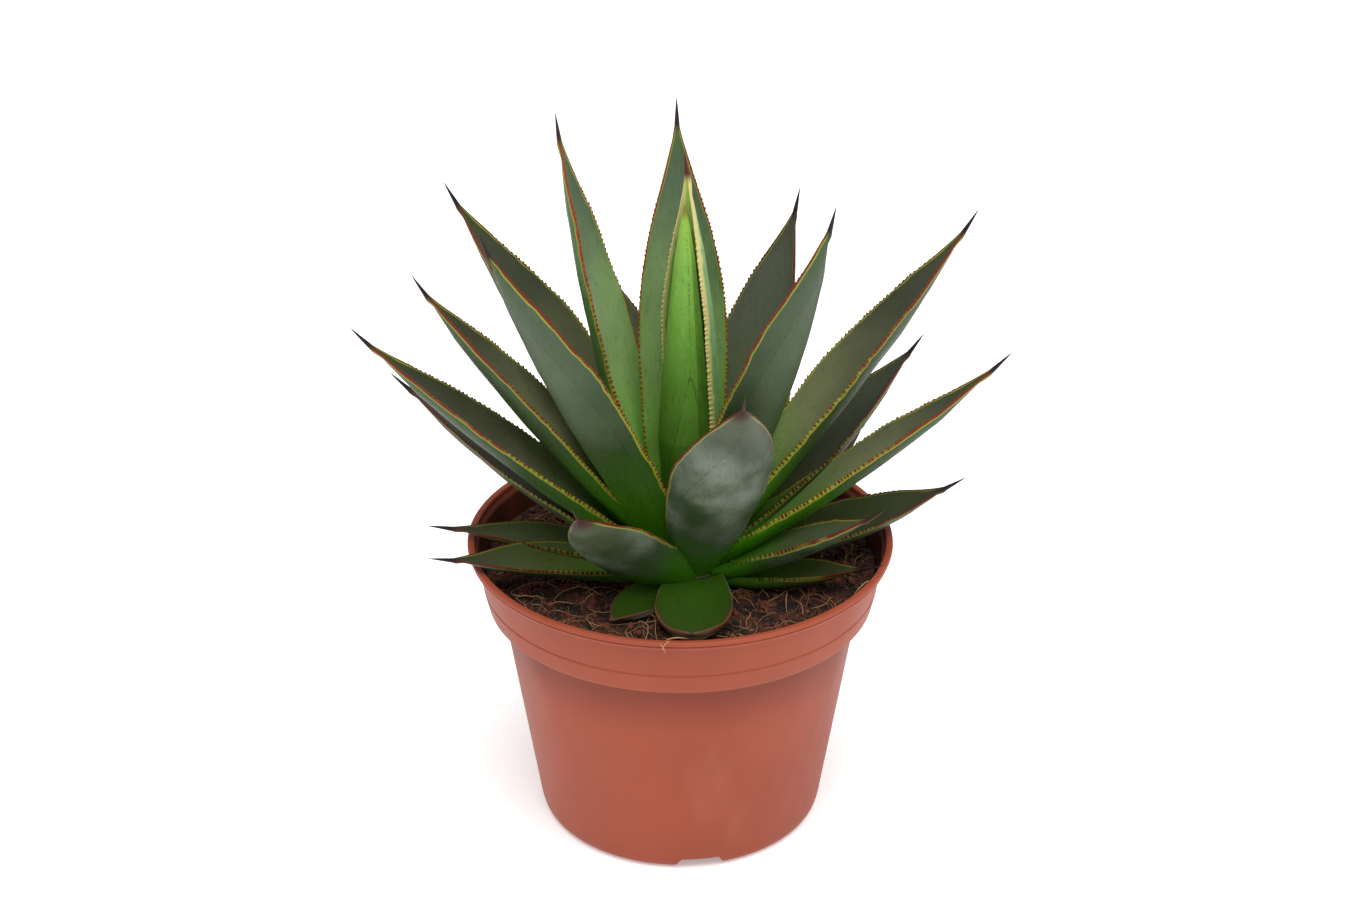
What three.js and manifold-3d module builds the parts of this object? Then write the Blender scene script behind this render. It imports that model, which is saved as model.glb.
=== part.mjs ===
// A young agave in its plastic nursery pot.
//
// Millimetres, +Z up. The origin is the centre of the pot's underside, so the
// pot stands on the plane z = 0. The plant sits a little in front of the pot's
// axis (towards -Y) and its leaves spread round a short stem.

import * as THREE from 'three';
import { mergeVertices } from 'three/addons/utils/BufferGeometryUtils.js';
import Module from 'manifold-3d';

const wasm = await Module();
wasm.setup();

// ---------------------------------------------------------------- dimensions

const RIM_RADIUS = 85;          // outside of the rolled lip
const POT_HEIGHT = 122.2;
const LIP_HEIGHT = 3.6;
const LIP_WIDTH = 3;
const BAND_BOTTOM = 95;         // height of the shoulder under the wide band
const BAND_RADIUS_TOP = 81.8;
const BAND_RADIUS_BOTTOM = 77.5;
const BODY_RADIUS_TOP = 71.7;   // the tapered wall, just under the shoulder
const BODY_RADIUS_BOTTOM = 57.2;
const FOOT_RADIUS = 53.8;       // where the rounded foot meets the table
const WALL = 1.2;
const FLOOR = 1.6;
const POT_SEGMENTS = 48;
const SOIL_SEGMENTS = 32;

const DRAIN_COUNT = 4;
const DRAIN_FIRST_AZIMUTH = 278; // degrees, the one that shows at the front
const DRAIN_WIDTH = 18;
const DRAIN_HEIGHT = 5;
const DRAIN_INNER_REACH = 34;    // the channel runs in to this radius
const DRAIN_HOLE_RADIUS = 4;
const DRAIN_ROOF = 1.2;

const SOIL_LEVEL = 110;
const SOIL_MOUND = 1;            // how much higher the soil is round the stem
const GAP = 0.3;                 // clearance where two pieces touch

// The stem leans: its foot is further forward than its top.
const STEM_FOOT = { x: 7.5, y: -16, z: 114 };
const STEM_TOP = { x: 2.5, y: -8, z: 124 };
const STEM_BURIED_END = 98;
const STEM_SIDES = 10;

const SPEAR_TIP = { x: 1.8, y: -11, z: 267 };

// Leaf defaults: how deep the channel is, where the blade is widest measured
// back from the tip, and how narrow the neck is, as fractions of full size.
// A pointing under 1 gives a blunt tip, and a curl turns the last part upwards.
const LEAF_DEFAULTS = {
  radius: 8,       // distance of the leaf's foot from the stem's axis
  height: 124,     // height of the leaf's foot
  fold: 0.7,       // half angle of the channel, radians
  widest: 0.5,
  neck: 0.62,
  roll: 0,         // turn about the leaf's own midline, degrees
  pointing: 1.25,
  curl: 0,         // degrees gained from CURL_START to the tip
  spine: 12,       // length of the terminal spine
};

const LEAF_STATIONS = 8;
const LEAF_RAYS = 5;             // points across each face of a leaf
const EDGE_THICKNESS = 0.9;
const BASE_THICKNESS = 5;
const TIP_THICKNESS = 1.5;
const SPINE_RADIUS = 0.9;
const SPINE_OUTSIDE_BLADE = 0.6; // the share of the spine that the blade doesn't reach
const CURL_START = 0.6;

// Leaves from the youngest to the oldest. azimuth is the way the leaf points
// (0 = +X, 90 = +Y), riseFoot and riseTip its slope above level, in degrees.
const LEAVES = [
  { azimuth: 50, riseFoot: 90, riseTip: 98, length: 165, halfWidth: 15, radius: 10, fold: 1.3 },
  { azimuth: 98, riseFoot: 86, riseTip: 82, length: 176, halfWidth: 18.5, radius: 9 },
  { azimuth: 163, riseFoot: 71, riseTip: 81, length: 179, halfWidth: 17, radius: 8 },
  { azimuth: 317, riseFoot: 63, riseTip: 73, length: 174, halfWidth: 19, radius: 7 },
  { azimuth: 221, riseFoot: 56, riseTip: 65, length: 180, halfWidth: 21 },
  { azimuth: 9, riseFoot: 47, riseTip: 57, length: 170, halfWidth: 18 },
  { azimuth: 160, riseFoot: 57, riseTip: 56, length: 166, halfWidth: 20 },
  { azimuth: 52, riseFoot: 56, riseTip: 70, length: 143, halfWidth: 18 },
  { azimuth: 284, riseFoot: 47, riseTip: 66, length: 126, halfWidth: 21, height: 120,
    widest: 0.42, neck: 0.42, pointing: 0.85 },
  { azimuth: 186, riseFoot: 46, riseTip: 57, length: 152, halfWidth: 20, radius: 9 },
  { azimuth: 120, riseFoot: 52, riseTip: 60, length: 125, halfWidth: 17 },
  { azimuth: 356, riseFoot: 31, riseTip: 46, length: 145, halfWidth: 13, radius: 9, height: 121 },
  { azimuth: 92, riseFoot: 32, riseTip: 46, length: 125, halfWidth: 18, radius: 9, height: 121 },
  { azimuth: 184, riseFoot: 35, riseTip: 46, length: 157, halfWidth: 16, radius: 10, height: 120 },
  { azimuth: 24, riseFoot: 31, riseTip: 47, length: 120, halfWidth: 17, radius: 9, height: 121 },
  { azimuth: 232, riseFoot: 20, riseTip: 60, length: 85, halfWidth: 17, radius: 10, height: 118,
    widest: 0.45, roll: -30, pointing: 0.8 },
  { azimuth: 68, riseFoot: 26, riseTip: 38, length: 120, halfWidth: 17, radius: 10, height: 119 },
  { azimuth: 140, riseFoot: 14, riseTip: 28, length: 84, halfWidth: 16, radius: 10, height: 119 },
  { azimuth: 170, riseFoot: 27, riseTip: 40, length: 133, halfWidth: 17, radius: 11, height: 117,
    fold: 0.5 },
  { azimuth: 338, riseFoot: 18, riseTip: 40, length: 79, halfWidth: 12, radius: 10, height: 118 },
  { azimuth: 112, riseFoot: 24, riseTip: 34, length: 116, halfWidth: 16, radius: 10, height: 118 },
  { azimuth: 45, riseFoot: 10, riseTip: 26, length: 102, halfWidth: 15, radius: 11, height: 117 },
  { azimuth: 13, riseFoot: 4, riseTip: 24, length: 103, halfWidth: 15, radius: 12, height: 117 },
  { azimuth: 152, riseFoot: 9, riseTip: 17, length: 62, halfWidth: 13, radius: 12, height: 116 },
  { azimuth: 190, riseFoot: 8, riseTip: 8, length: 95, halfWidth: 13, radius: 12, height: 116,
    fold: 0.5, neck: 0.5 },
  { azimuth: 173, riseFoot: 13, riseTip: 1, length: 98, halfWidth: 10, radius: 12, height: 115,
    fold: 0.5, neck: 0.4 },
  { azimuth: 86, riseFoot: 6, riseTip: 20, length: 98, halfWidth: 15, radius: 12, height: 116 },
  { azimuth: 345, riseFoot: 4, riseTip: 18, length: 64, halfWidth: 9, radius: 12, height: 115,
    fold: 0.5 },
  { azimuth: 122, riseFoot: 5, riseTip: 18, length: 96, halfWidth: 14, radius: 12, height: 115 },
  { azimuth: 268, riseFoot: -8, riseTip: 8, length: 52, halfWidth: 16, radius: 12, height: 116,
    widest: 0.5, neck: 0.7, spine: 3, pointing: 0.6, curl: 58 },
  { azimuth: 228, riseFoot: -4, riseTip: 4, length: 38, halfWidth: 10, radius: 14, height: 115,
    spine: 3, pointing: 0.7 },
];

// ----------------------------------------------------------------- materials

const TERRACOTTA = new THREE.MeshStandardMaterial({ color: 0xa85a46, roughness: 0.5, metalness: 0 });
const PEAT = new THREE.MeshStandardMaterial({ color: 0x3a2418, roughness: 1, metalness: 0 });
const STEM_GREEN = new THREE.MeshStandardMaterial({ color: 0x5f7a2a, roughness: 0.6, metalness: 0 });
const SPEAR_GREEN = new THREE.MeshStandardMaterial({ color: 0x4f8030, roughness: 0.5, metalness: 0 });
const LEAF_GREEN = new THREE.MeshStandardMaterial({ color: 0x55694f, roughness: 0.5, metalness: 0 });

// ------------------------------------------------------------------- solids

const radians = THREE.MathUtils.degToRad;
const clamp = THREE.MathUtils.clamp;
const lerp = THREE.MathUtils.lerp;

/** Turns a closed geometry into a solid that can be cut and joined. */
function toSolid(geometry) {
  const bare = geometry.clone();
  bare.deleteAttribute('normal');
  bare.deleteAttribute('uv');
  const merged = mergeVertices(bare, 1e-4);
  return new wasm.Manifold(new wasm.Mesh({
    numProp: 3,
    vertProperties: new Float32Array(merged.attributes.position.array),
    triVerts: new Uint32Array(merged.index.array),
  }));
}

/** Turns a solid back into a geometry. */
function toGeometry(solid) {
  const mesh = solid.getMesh();
  const geometry = new THREE.BufferGeometry();
  geometry.setAttribute('position', new THREE.BufferAttribute(mesh.vertProperties, 3));
  geometry.setIndex(new THREE.BufferAttribute(mesh.triVerts, 1));
  geometry.computeVertexNormals();
  return geometry;
}

/** Keeps the largest of the pieces that a cut leaves. */
function largestPiece(solid) {
  const pieces = solid.decompose();
  return pieces.reduce((a, b) => (a.volume() > b.volume() ? a : b));
}

/** A lathe about +Z from [radius, height] points. */
function turned(points, segments) {
  const outline = points.map(([r, z]) => new THREE.Vector2(r, z));
  return new THREE.LatheGeometry(outline, segments).rotateX(Math.PI / 2);
}

/** A box whose narrow end faces the axis, turned to an azimuth about +Z. */
function radialBox(width, from, to, bottom, top, azimuth) {
  const box = new THREE.BoxGeometry(to - from, width, top - bottom);
  box.translate((from + to) / 2, 0, (bottom + top) / 2);
  return box.rotateZ(radians(azimuth));
}

/** The closed surface through a stack of equal rings of points. */
function skin(rings, apex) {
  const count = rings[0].length;
  const positions = rings.flat().flatMap((p) => [p.x, p.y, p.z]);
  const triangles = [];
  for (let i = 0; i + 1 < rings.length; i += 1) {
    for (let j = 0; j < count; j += 1) {
      const a = i * count + j;
      const b = i * count + ((j + 1) % count);
      triangles.push(a, b, a + count, b, b + count, a + count);
    }
  }
  const footCap = THREE.ShapeUtils.triangulateShape(flatten(rings[0]), []);
  footCap.forEach(([a, b, c]) => triangles.push(a, c, b));
  const tip = positions.length / 3;
  const last = (rings.length - 1) * count;
  positions.push(apex.x, apex.y, apex.z);
  for (let j = 0; j < count; j += 1) {
    triangles.push(last + j, last + ((j + 1) % count), tip);
  }
  const geometry = new THREE.BufferGeometry();
  geometry.setAttribute('position', new THREE.Float32BufferAttribute(positions, 3));
  geometry.setIndex(triangles);
  return geometry;
}

/** A ring's points in its own plane, for capping it. */
function flatten(ring) {
  const origin = ring[0];
  const middle = ring[Math.floor(ring.length / 2)];
  const across = middle.clone().sub(origin).normalize();
  const normal = new THREE.Vector3();
  ring.forEach((p, i) => {
    const next = ring[(i + 1) % ring.length];
    normal.add(p.clone().sub(origin).cross(next.clone().sub(origin)));
  });
  const up = normal.normalize().clone().cross(across);
  return ring.map((p) => {
    const d = p.clone().sub(origin);
    return new THREE.Vector2(d.dot(across), d.dot(up));
  });
}

// --------------------------------------------------------------------- pot

/** The pot's section: flat floor, rounded foot, taper, shoulder, band, lip. */
function potProfile() {
  const lipBottom = POT_HEIGHT - LIP_HEIGHT;
  const slope = (BODY_RADIUS_TOP - BODY_RADIUS_BOTTOM) / BAND_BOTTOM;
  const body = (z) => BODY_RADIUS_BOTTOM + slope * z;
  const lipInner = RIM_RADIUS - LIP_WIDTH;
  return [
    [0, 0],
    [FOOT_RADIUS, 0],
    [body(0) - 1, 1.1],
    [body(3.5), 3.5],
    [BODY_RADIUS_TOP, BAND_BOTTOM - 1.5],
    [BODY_RADIUS_TOP + 0.8, BAND_BOTTOM],
    [BAND_RADIUS_BOTTOM - 0.8, BAND_BOTTOM + 0.2],
    [BAND_RADIUS_BOTTOM, BAND_BOTTOM + 1.2],
    [BAND_RADIUS_TOP, lipBottom],
    [RIM_RADIUS - 0.8, lipBottom],
    [RIM_RADIUS, lipBottom + 0.9],
    [RIM_RADIUS, POT_HEIGHT - 0.9],
    [RIM_RADIUS - 0.9, POT_HEIGHT],
    [lipInner + 0.7, POT_HEIGHT],
    [lipInner, POT_HEIGHT - 0.8],
    [BAND_RADIUS_TOP - WALL, lipBottom],
    [BAND_RADIUS_BOTTOM - WALL, BAND_BOTTOM + 2],
    [BODY_RADIUS_TOP - WALL, BAND_BOTTOM + 0.4],
    [body(4) - WALL, 4],
    [FOOT_RADIUS, FLOOR],
    [0, FLOOR],
  ];
}

const drainAzimuths = Array.from({ length: DRAIN_COUNT },
  (_, i) => DRAIN_FIRST_AZIMUTH + (360 / DRAIN_COUNT) * i);

/** The raised roof over one drainage channel, grown by a margin. */
function drainRoof(azimuth, margin) {
  const top = DRAIN_HEIGHT + DRAIN_ROOF + margin;
  const width = DRAIN_WIDTH + 2 * (DRAIN_ROOF + margin);
  const start = DRAIN_INNER_REACH - DRAIN_ROOF - margin;
  return toSolid(radialBox(width, start, FOOT_RADIUS + 2, FLOOR / 2, top, azimuth));
}

function makePot() {
  let pot = toSolid(turned(potProfile(), POT_SEGMENTS));
  for (const azimuth of drainAzimuths) {
    pot = pot.add(drainRoof(azimuth, 0));
    const channel = radialBox(DRAIN_WIDTH, DRAIN_INNER_REACH, RIM_RADIUS, -1, DRAIN_HEIGHT, azimuth);
    pot = pot.subtract(toSolid(channel));
    const hole = new THREE.CylinderGeometry(DRAIN_HOLE_RADIUS, DRAIN_HOLE_RADIUS, 3 * DRAIN_HEIGHT, 16);
    hole.rotateX(Math.PI / 2);
    hole.translate((DRAIN_INNER_REACH + FOOT_RADIUS) / 2, 0, DRAIN_HEIGHT);
    pot = pot.subtract(toSolid(hole.rotateZ(radians(azimuth))));
  }
  return pot;
}

// -------------------------------------------------------------------- soil

/** The axis of the leaning stem at a height. */
function stemAxis(z) {
  const k = clamp((z - STEM_FOOT.z) / (STEM_TOP.z - STEM_FOOT.z), 0, 1);
  return new THREE.Vector2(lerp(STEM_FOOT.x, STEM_TOP.x, k), lerp(STEM_FOOT.y, STEM_TOP.y, k));
}

/** Peat that fills the pot, a little higher round the stem; grow lifts its surface. */
function makeSoil(grow = 0) {
  const slope = (BODY_RADIUS_TOP - BODY_RADIUS_BOTTOM) / BAND_BOTTOM;
  const inner = (z) => BODY_RADIUS_BOTTOM + slope * z - WALL - GAP;
  const bandSlope = (BAND_RADIUS_TOP - BAND_RADIUS_BOTTOM) / (POT_HEIGHT - LIP_HEIGHT - BAND_BOTTOM);
  const edge = BAND_RADIUS_BOTTOM - WALL - 2 * GAP + bandSlope * (SOIL_LEVEL - BAND_BOTTOM - 2);
  const level = SOIL_LEVEL + grow;
  const soil = toSolid(turned([
    [0, FLOOR + GAP],
    [FOOT_RADIUS - 1, FLOOR + GAP],
    [inner(4.5), 4.5],
    [BODY_RADIUS_TOP - WALL - 2 * GAP, BAND_BOTTOM + 0.8],
    [BAND_RADIUS_BOTTOM - WALL - 3 * GAP, BAND_BOTTOM + 2.6],
    [edge, level - 0.6],
    [edge - 12, level],
    [45, level + SOIL_MOUND * 0.3],
    [22, level + SOIL_MOUND],
    [0, level + SOIL_MOUND],
  ], SOIL_SEGMENTS));
  return drainAzimuths.reduce((rest, azimuth) => rest.subtract(drainRoof(azimuth, GAP)), soil);
}

// ------------------------------------------------------------------- plant

/** A round body from rings about a leaning axis, with a pointed top. */
function leaningBody(sections, apex, sides, grow) {
  const rings = sections.map(({ x, y, z, r }) => Array.from({ length: sides }, (_, j) => {
    const a = (2 * Math.PI * j) / sides;
    return new THREE.Vector3(x + (r + grow) * Math.cos(a), y + (r + grow) * Math.sin(a), z);
  }));
  rings[0].forEach((p) => { p.z -= grow; });
  return toSolid(skin(rings, new THREE.Vector3(apex.x, apex.y, apex.z + 2 * grow)));
}

/** The short woody stem, part of it buried. */
function makeStem(grow = 0) {
  const radii = [[STEM_BURIED_END, 7], [106, 11], [113, 12.5], [118, 10], [122, 5]];
  const sections = radii.map(([z, r]) => {
    const axis = stemAxis(z);
    return { x: axis.x, y: axis.y, z, r };
  });
  return leaningBody(sections, { x: STEM_TOP.x, y: STEM_TOP.y, z: 123.6 }, STEM_SIDES, grow);
}

/** The rolled-up youngest leaves, one pointed cone. */
function makeSpear(grow = 0) {
  const foot = { ...STEM_TOP, z: STEM_TOP.z + GAP };
  const height = SPEAR_TIP.z - foot.z;
  const radii = [[0, 7], [0.12, 9], [0.33, 10.6], [0.5, 9], [0.67, 6.6], [0.85, 4], [0.94, 2]];
  const sections = radii.map(([k, r]) => ({
    x: lerp(foot.x, SPEAR_TIP.x, k),
    y: lerp(foot.y, SPEAR_TIP.y, k),
    z: foot.z + height * k,
    r,
  }));
  return leaningBody(sections, SPEAR_TIP, STEM_SIDES, grow);
}

/** How wide a leaf is at a fraction of its length, relative to its widest. */
function bladeWidth(s, spineShare, leaf) {
  const bare = SPINE_OUTSIDE_BLADE * spineShare;
  const fromTip = Math.max(0, (1 - s - bare) / (1 - bare));
  if (fromTip > leaf.widest) {
    return leaf.neck + (1 - leaf.neck) * Math.sin((Math.PI / 2) * ((1 - fromTip) / (1 - leaf.widest)));
  }
  return Math.sin((Math.PI / 2) * (fromTip / leaf.widest)) ** leaf.pointing;
}

/** A leaf's slope above level at a fraction of its length, in radians. */
function slopeAt(leaf, s) {
  const curled = Math.max(0, (s - CURL_START) / (1 - CURL_START)) ** 2;
  return radians(lerp(leaf.riseFoot, leaf.riseTip, s) + leaf.curl * curled);
}

/**
 * One leaf: a channelled blade that is thick along its midline, thin at its
 * margins, and drawn out into a spine. Its midline is an arc in an upright
 * plane, whose slope goes from riseFoot to riseTip, and may curl at its end.
 */
function makeLeaf(options, grow = 0) {
  const leaf = { ...LEAF_DEFAULTS, ...options };
  const azimuth = radians(leaf.azimuth);
  const outward = new THREE.Vector3(Math.cos(azimuth), Math.sin(azimuth), 0);
  const level = new THREE.Vector3(-Math.sin(azimuth), Math.cos(azimuth), 0);
  const axis = stemAxis(leaf.height);
  const point = new THREE.Vector3(axis.x, axis.y, leaf.height).addScaledVector(outward, leaf.radius);

  const spineShare = leaf.spine / leaf.length;
  const stations = Array.from({ length: LEAF_STATIONS },
    (_, i) => (1 - spineShare) * (i / (LEAF_STATIONS - 1)));
  stations.push(1 - spineShare / 2);

  const rings = [];
  let reached = 0;
  let along;
  for (const s of [...stations, 1]) {
    const middle = slopeAt(leaf, (s + reached) / 2);
    const step = (s - reached) * leaf.length;
    point.addScaledVector(outward, step * Math.cos(middle));
    point.z += step * Math.sin(middle);
    reached = s;
    const rise = slopeAt(leaf, s);
    along = outward.clone().multiplyScalar(Math.cos(rise)).setZ(Math.sin(rise));
    if (s === 1) break;

    const up = outward.clone().multiplyScalar(-Math.sin(rise)).setZ(Math.cos(rise));
    const side = level.clone();
    up.applyAxisAngle(along, -radians(leaf.roll));
    side.applyAxisAngle(along, -radians(leaf.roll));
    const start = point.clone().addScaledVector(along, s === 0 ? -grow : 0);
    rings.push(leafSection(leaf, s, spineShare, start, side, up, grow));
  }
  return toSolid(skin(rings, point.clone().addScaledVector(along, 2 * grow)));
}

/** One cross-section of a leaf: its upper face, then back along its under face. */
function leafSection(leaf, s, spineShare, centre, side, up, grow) {
  const taper = clamp((1 - s) / spineShare, 0, 1) ** 0.8;
  const blade = leaf.halfWidth * bladeWidth(s, spineShare, leaf);
  const half = Math.max(blade, SPINE_RADIUS * taper) + grow;
  const radius = half / leaf.fold;
  const full = (BASE_THICKNESS * (1 - s) ** 1.3 + TIP_THICKNESS * Math.min(1, (1 - s) / 0.1))
    * Math.min(1, half / 8);
  const edge = EDGE_THICKNESS * Math.min(1, half / 3);
  const upper = [];
  const under = [];
  for (let i = 0; i < LEAF_RAYS; i += 1) {
    const v = 1 - (2 * i) / (LEAF_RAYS - 1);
    const angle = leaf.fold * v;
    const thickness = full * (1 - v * v) ** 0.6 + edge + grow;
    const place = (r) => centre.clone()
      .addScaledVector(side, r * Math.sin(angle))
      .addScaledVector(up, radius - r * Math.cos(angle));
    upper.push(place(radius - grow));
    under.unshift(place(radius + thickness));
  }
  return [...upper, ...under];
}

// ---------------------------------------------------------------- assembly

const agave = new THREE.Group();
agave.name = 'potted_agave';

function place(name, solid, material) {
  const mesh = new THREE.Mesh(toGeometry(solid), material);
  mesh.name = name;
  agave.add(mesh);
}

place('pot', makePot(), TERRACOTTA);
place('soil', makeSoil().subtract(makeStem(GAP)), PEAT);
place('stem', makeStem(), STEM_GREEN);
place('spear', makeSpear(), SPEAR_GREEN);

// Each leaf gives way to the soil, the stem, the spear and every younger leaf.
let occupied = makeSoil(GAP).add(makeStem(GAP)).add(makeSpear(GAP));
LEAVES.forEach((leaf, i) => {
  const solid = largestPiece(makeLeaf(leaf).subtract(occupied));
  occupied = occupied.add(makeLeaf(leaf, GAP));
  place(`leaf_${String(i + 1).padStart(2, '0')}`, solid, LEAF_GREEN);
});

export default agave;
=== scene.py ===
# %% [markdown]
# # A young agave in its nursery pot
#
# This lesson builds the looks of a potted agave round a CAD model of it. The
# CAD model knows every piece, its size and its place. Blender adds the fine
# surfaces: toothed leaf margins, the moulded pot and the loose peat.
# The frame comes first. It loads the CAD pieces where they belong, in metres,
# and every new piece is made in the same space, so nothing has to be fitted.

import bpy
import numpy as np
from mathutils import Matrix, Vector


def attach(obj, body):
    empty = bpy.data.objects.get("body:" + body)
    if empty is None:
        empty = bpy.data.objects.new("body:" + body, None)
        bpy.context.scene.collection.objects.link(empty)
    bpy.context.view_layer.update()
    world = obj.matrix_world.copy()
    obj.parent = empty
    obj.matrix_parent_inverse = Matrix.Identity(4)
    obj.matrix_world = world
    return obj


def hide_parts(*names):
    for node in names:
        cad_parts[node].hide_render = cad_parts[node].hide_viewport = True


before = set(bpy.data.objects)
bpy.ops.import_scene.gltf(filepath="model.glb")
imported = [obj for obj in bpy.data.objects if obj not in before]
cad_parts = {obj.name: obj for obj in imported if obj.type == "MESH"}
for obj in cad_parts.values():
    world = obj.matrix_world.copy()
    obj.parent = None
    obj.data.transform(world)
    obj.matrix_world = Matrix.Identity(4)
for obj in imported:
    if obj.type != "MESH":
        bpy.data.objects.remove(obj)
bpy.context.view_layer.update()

MM = 0.001
print("pieces in the frame:", len(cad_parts))

# %% [markdown]
# ## The camera
#
# The plant is looked at from the front and a little above, with a long lens,
# as a shop would show it. A camera can be placed by hand, but here it is
# worked out from a point to look at, a distance and an angle above the
# horizon, because those three are easy to think about and to change.

# %% Camera
AIM = Vector((0.0011, 0.0, 0.1575))
CAMERA_DISTANCE = 1.046
CAMERA_RISE = np.radians(26.98)
LENS_MM = 70

back_off = Vector((0, -np.cos(CAMERA_RISE), np.sin(CAMERA_RISE)))
lens = bpy.data.cameras.new("camera")
lens.lens = LENS_MM
lens.sensor_width = 36
camera = bpy.data.objects.new("camera", lens)
camera.location = AIM + back_off * CAMERA_DISTANCE
camera.rotation_euler = back_off.to_track_quat("Z", "Y").to_euler()
bpy.context.scene.collection.objects.link(camera)
bpy.context.scene.camera = camera
print("camera height above the floor, m:", round(camera.location.z, 3))

# %% [markdown]
# ## Studio light
#
# A plant on white is lit by large soft lamps, so that each leaf shows a gentle
# gradient and no hard shadow. Small lamps would give dark, sharp shadows
# between the leaves. So the world itself is a dim white dome, and a very wide
# sun, almost overhead and a little in front, gives direction: the hollow upper
# faces of the leaves are bright, and their backs and the wall under the pot's
# band are darker. A sun lights the floor evenly as far as it goes, which an
# area lamp can't. Two area lamps add a pale sheen to the sides of the pot.

# %% World and lamps
scene = bpy.context.scene
scene.view_settings.view_transform = "Standard"
world = bpy.data.worlds.new("white_dome")
scene.world = world
world.use_nodes = True
DOME_STRENGTH = 0.5
world.node_tree.nodes["Background"].inputs["Color"].default_value = (1, 1, 1, 1)
world.node_tree.nodes["Background"].inputs["Strength"].default_value = DOME_STRENGTH


def soft_lamp(name, place, size, watts):
    """A rectangular lamp at a place, turned to face the middle of the plant."""
    light = bpy.data.lights.new(name, "AREA")
    light.shape = "RECTANGLE"
    light.size, light.size_y = size
    light.energy = watts
    lamp = bpy.data.objects.new(name, light)
    lamp.location = place
    lamp.rotation_euler = (lamp.location - AIM).to_track_quat("Z", "Y").to_euler()
    scene.collection.objects.link(lamp)


SUN_STRENGTH = 2.5
SUN_WIDTH = np.radians(50)
sun_light = bpy.data.lights.new("wide_sun", "SUN")
sun_light.energy = SUN_STRENGTH
sun_light.angle = SUN_WIDTH
sun = bpy.data.objects.new("wide_sun", sun_light)
sun.rotation_euler = Vector((0.08, -0.34, 1.0)).to_track_quat("Z", "Y").to_euler()
scene.collection.objects.link(sun)

soft_lamp("right_lamp", (1.3, -0.6, 0.6), (0.7, 1.3), 1.8)
soft_lamp("left_lamp", (-1.4, -0.4, 0.8), (0.7, 1.3), 1.4)
print("lamps:", len(bpy.data.lights))

# %% [markdown]
# ## Materials from small parts
#
# Every finish here is a node tree: attributes and noise go in, and a colour,
# a roughness and a bump come out. Building trees by hand needs many lines, so
# a few small helpers add one node each. A finish then reads like a recipe.

# %% Node helpers
def paint(red, green, blue):
    """A colour given as on a screen, 0 to 255, as the linear numbers that shaders use."""
    part = np.array([red, green, blue]) / 255
    linear = np.where(part <= 0.04045, part / 12.92, ((part + 0.055) / 1.055) ** 2.4)
    return (*linear.tolist(), 1.0)


def feed(tree, socket, value):
    """Links a socket to a value that is a socket, or sets it to a number or a screen colour."""
    if isinstance(value, bpy.types.NodeSocket):
        tree.links.new(value, socket)
    elif isinstance(value, tuple):
        socket.default_value = paint(*value)
    else:
        socket.default_value = value


def attribute(tree, name):
    """The number that each point of the mesh carries under a name."""
    node = tree.nodes.new("ShaderNodeAttribute")
    node.attribute_name = name
    return node.outputs["Fac"]


def calculate(tree, operation, first, second=0.0):
    """One step of arithmetic."""
    node = tree.nodes.new("ShaderNodeMath")
    node.operation = operation
    feed(tree, node.inputs[0], first)
    feed(tree, node.inputs[1], second)
    return node.outputs[0]


def rise(tree, value, start, end, low=0.0, high=1.0):
    """Goes smoothly from low to high while value goes from start to end."""
    node = tree.nodes.new("ShaderNodeMapRange")
    node.interpolation_type = "SMOOTHSTEP"
    feed(tree, node.inputs["Value"], value)
    feed(tree, node.inputs["From Min"], start)
    feed(tree, node.inputs["From Max"], end)
    feed(tree, node.inputs["To Min"], low)
    feed(tree, node.inputs["To Max"], high)
    return node.outputs["Result"]


def blend(tree, share, under, over, way="MIX"):
    """Lays one colour over another by a share from 0 to 1."""
    node = tree.nodes.new("ShaderNodeMix")
    node.data_type = "RGBA"
    node.blend_type = way
    feed(tree, node.inputs[0], share)
    feed(tree, node.inputs[6], under)
    feed(tree, node.inputs[7], over)
    return node.outputs[2]


def grain(tree, where, scale, detail=3.0, stretch=(1, 1, 1)):
    """Noise from 0 to 1. where is a coordinate socket, stretch squeezes it along an axis."""
    mapping = tree.nodes.new("ShaderNodeMapping")
    tree.links.new(where, mapping.inputs["Vector"])
    mapping.inputs["Scale"].default_value = stretch
    node = tree.nodes.new("ShaderNodeTexNoise")
    tree.links.new(mapping.outputs["Vector"], node.inputs["Vector"])
    node.inputs["Scale"].default_value = scale
    node.inputs["Detail"].default_value = detail
    return node.outputs["Fac"]


def object_space(tree):
    """The place of each point in metres."""
    return tree.nodes.new("ShaderNodeTexCoord").outputs["Object"]


def bump(tree, height, depth_mm, strength=1.0):
    """Turns a height from 0 to 1 into a tilt of the surface."""
    node = tree.nodes.new("ShaderNodeBump")
    node.inputs["Strength"].default_value = strength
    node.inputs["Distance"].default_value = depth_mm * MM
    tree.links.new(height, node.inputs["Height"])
    return node.outputs["Normal"]


def new_finish(name):
    """An empty material: its node tree and the shader that the finish feeds."""
    material = bpy.data.materials.new(name)
    material.use_nodes = True
    tree = material.node_tree
    return material, tree, tree.nodes["Principled BSDF"]


def coat(tree, shader, colour, roughness, normal):
    """Feeds a shader the three things that every finish has."""
    feed(tree, shader.inputs["Base Color"], colour)
    feed(tree, shader.inputs["Roughness"], roughness)
    feed(tree, shader.inputs["Normal"], normal)


print("node helpers are ready")

# %% [markdown]
# ## The floor
#
# The pot stands on a plain white sweep. A disc is enough, as long as it runs
# far past the camera's view. It glows a little, like a light table, so the pot's
# shadow stays faint. It is part of the stage and not of the plant.

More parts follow.
